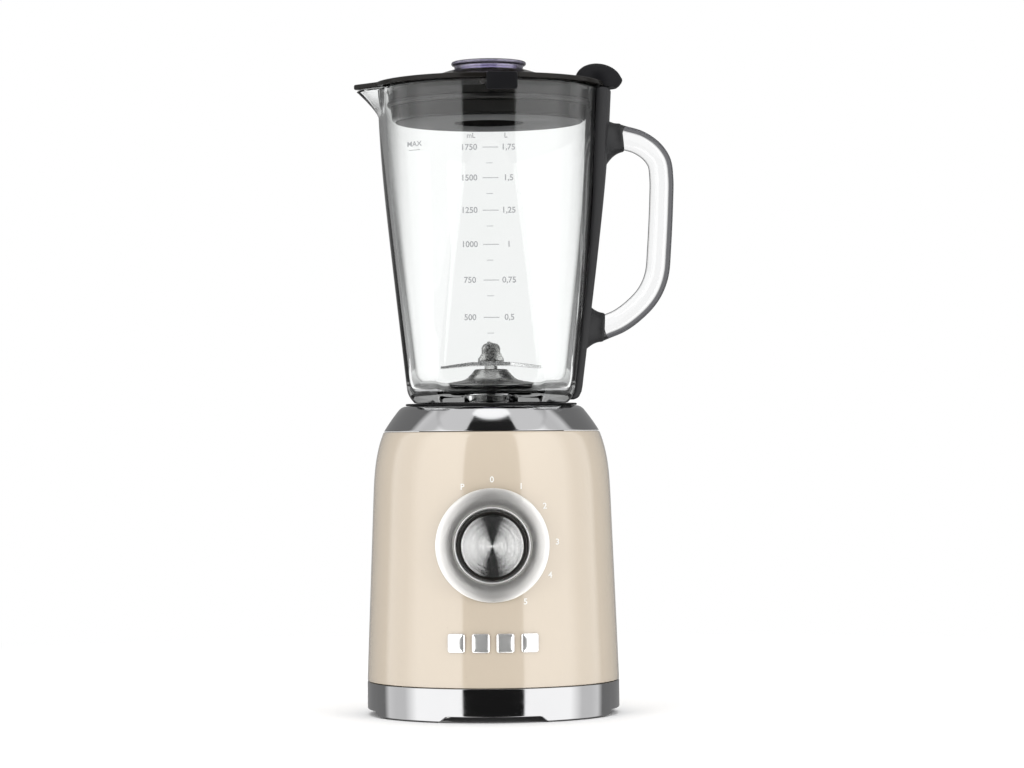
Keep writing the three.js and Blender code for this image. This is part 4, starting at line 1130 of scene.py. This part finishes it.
# %% [markdown]
# ## Studio
# The blender stands on a pale floor in a white studio. The room that the metal mirrors is darker in front,
# round the camera, and has a tall softbox on each side and one overhead. It is written into the world by
# direction, so that it reads the same from every side, and it is separate from the plain white backdrop.

# %% Two angles that say where a ray looks
class Sky(Finish):
    """The world's node tree, filled with the same methods as a finish."""

    def __init__(self):
        world = bpy.data.worlds.new("studio")
        bpy.context.scene.world = world
        world.use_nodes = True
        self.tree = world.node_tree
        self.tree.nodes.clear()
        self.point = self.node("ShaderNodeTexCoord", {}, out="Generated")


sky = Sky()
sx, sy, sz = sky.axes()
DEGREES = 180 / math.pi
side = sx.math("ABSOLUTE", sx.math("ARCTAN2", sx, 0 - sy) * DEGREES)
height = sz.math("ARCSINE", sz) * DEGREES

# %% The room that metal mirrors
soft_boxes = sky.ramp(side, 27, 29) * sky.ramp(side, 74, 88, 2.1, 1.1)
soft_boxes = soft_boxes * sky.ramp(side, 110, 118, 1.0, 0.0)
walls = soft_boxes * sky.ramp(height, 52, 58, 1.0, 0.0) + sky.ramp(side, 100, 120, 0.02, 0.30)
in_front = sky.ramp(side, 41, 43, 1.0, 0.0)
ceiling = (1 - in_front) * sky.ramp(side, 92, 118, 1.25, 0.5) + 0.03
overhead = sky.ramp(side, 46, 52, 2.2, 1.3) * sky.ramp(side, 100, 116, 1.0, 0.3)
low = sky.ramp(height, 52, 55, 1.0, 0.0)
high = sky.ramp(height, 70.6, 71.6)
room = walls * low + ceiling * (1 - low) * (1 - high) + overhead * high
diffused = sky.node("ShaderNodeLightPath", {}, out="Diffuse Depth") > 0.5
mirrored = (sky.node("ShaderNodeLightPath", {}, out="Glossy Depth") > 0.5) * (1 - diffused)
level = (1 - mirrored) * (1 - diffused) + mirrored * room + diffused * 0.70
backdrop = sky.node("ShaderNodeBackground", {}, (1, 1, 1, 1), level)
sky.node("ShaderNodeOutputWorld", {}, backdrop)
bpy.context.scene.world.cycles.sampling_method = "NONE"

# %% [markdown]
# ## Floor
# The floor is a disc of pale paper. Near the blender it takes the shadow, and further out it fades into plain
# white light, so that no horizon shows against the backdrop. Metal doesn't mirror it.

# %% Paper floor
FLOOR_RADIUS, FLOOR_SIDES = 9.0, 96
floor_verts = []
for k in range(FLOOR_SIDES):
    x, y, _ = on_circle(FLOOR_RADIUS, 2 * math.pi * k / FLOOR_SIDES)
    floor_verts.append((x, y, 0))
floor_mesh = bpy.data.meshes.new("floor")
floor_mesh.from_pydata(floor_verts, [], [tuple(range(FLOOR_SIDES))])
f = Finish("floor_paper")
fibre = f.noise(400.0, 3.0)
paper = f.node("ShaderNodeBsdfDiffuse", {}, Color=f.blend(fibre, (0.93, 0.93, 0.93), (0.95, 0.95, 0.95)),
               Normal=f.bump(fibre, 0.02 * MM, 0.3))
glow = f.node("ShaderNodeEmission", {}, (1, 1, 1, 1), 1.0)
fx, fy, _ = f.axes()
fade = f.ramp((fx * fx + fy * fy) ** 0.5, 0.16, 0.8)
f.node("ShaderNodeOutputMaterial", {}, f.node("ShaderNodeMixShader", {}, fade, paper, glow))
floor_mesh.materials.append(f.material)
floor = bpy.data.objects.new("floor", floor_mesh)
bpy.context.scene.collection.objects.link(floor)
floor.visible_glossy = False
floor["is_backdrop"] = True
print("floor", 2 * FLOOR_RADIUS, "m across")

# %% [markdown]
# ## Lamps
# Three large area lamps light the enamel and cast the soft shadow: one on each side in front and one above.
# They are hidden from mirror reflections, since the world already holds the soft boxes that metal shows.

# %% Lamps
def lamp(name, place, aim, size, power):
    data = bpy.data.lights.new(name, "AREA")
    data.shape, data.size, data.size_y, data.energy = "RECTANGLE", size[0], size[1], power
    made = bpy.data.objects.new(name, data)
    bpy.context.scene.collection.objects.link(made)
    made.location = place
    made.rotation_mode = "QUATERNION"
    made.rotation_quaternion = (Vector(aim) - Vector(place)).to_track_quat("-Z", "Y")
    made.visible_camera = made.visible_glossy = made.visible_transmission = False
    print(name, power, "W")


lamp("left softbox", (-2.0, -2.0, 1.3), (0, 0, 0.2), (1.6, 2.2), 26)
lamp("right softbox", (2.0, -2.0, 1.3), (0, 0, 0.2), (1.6, 2.2), 26)
lamp("top light", (0, 0.3, 2.6), (0, 0, 0), (2.4, 2.4), 34)
bpy.context.scene.view_settings.view_transform = "Standard"

# %% [markdown]
# ## Size of the scene
# The engineering box and the box of what shows are written side by side, so that any piece that has grown
# outside its place is noticed.

# %% Measure and finish
made_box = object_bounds()
for title, (low, high) in (("engineering", cad_box), ("visible", made_box)):
    print(title, "size in metres:", [round(b - a, 4) for a, b in zip(low, high)])
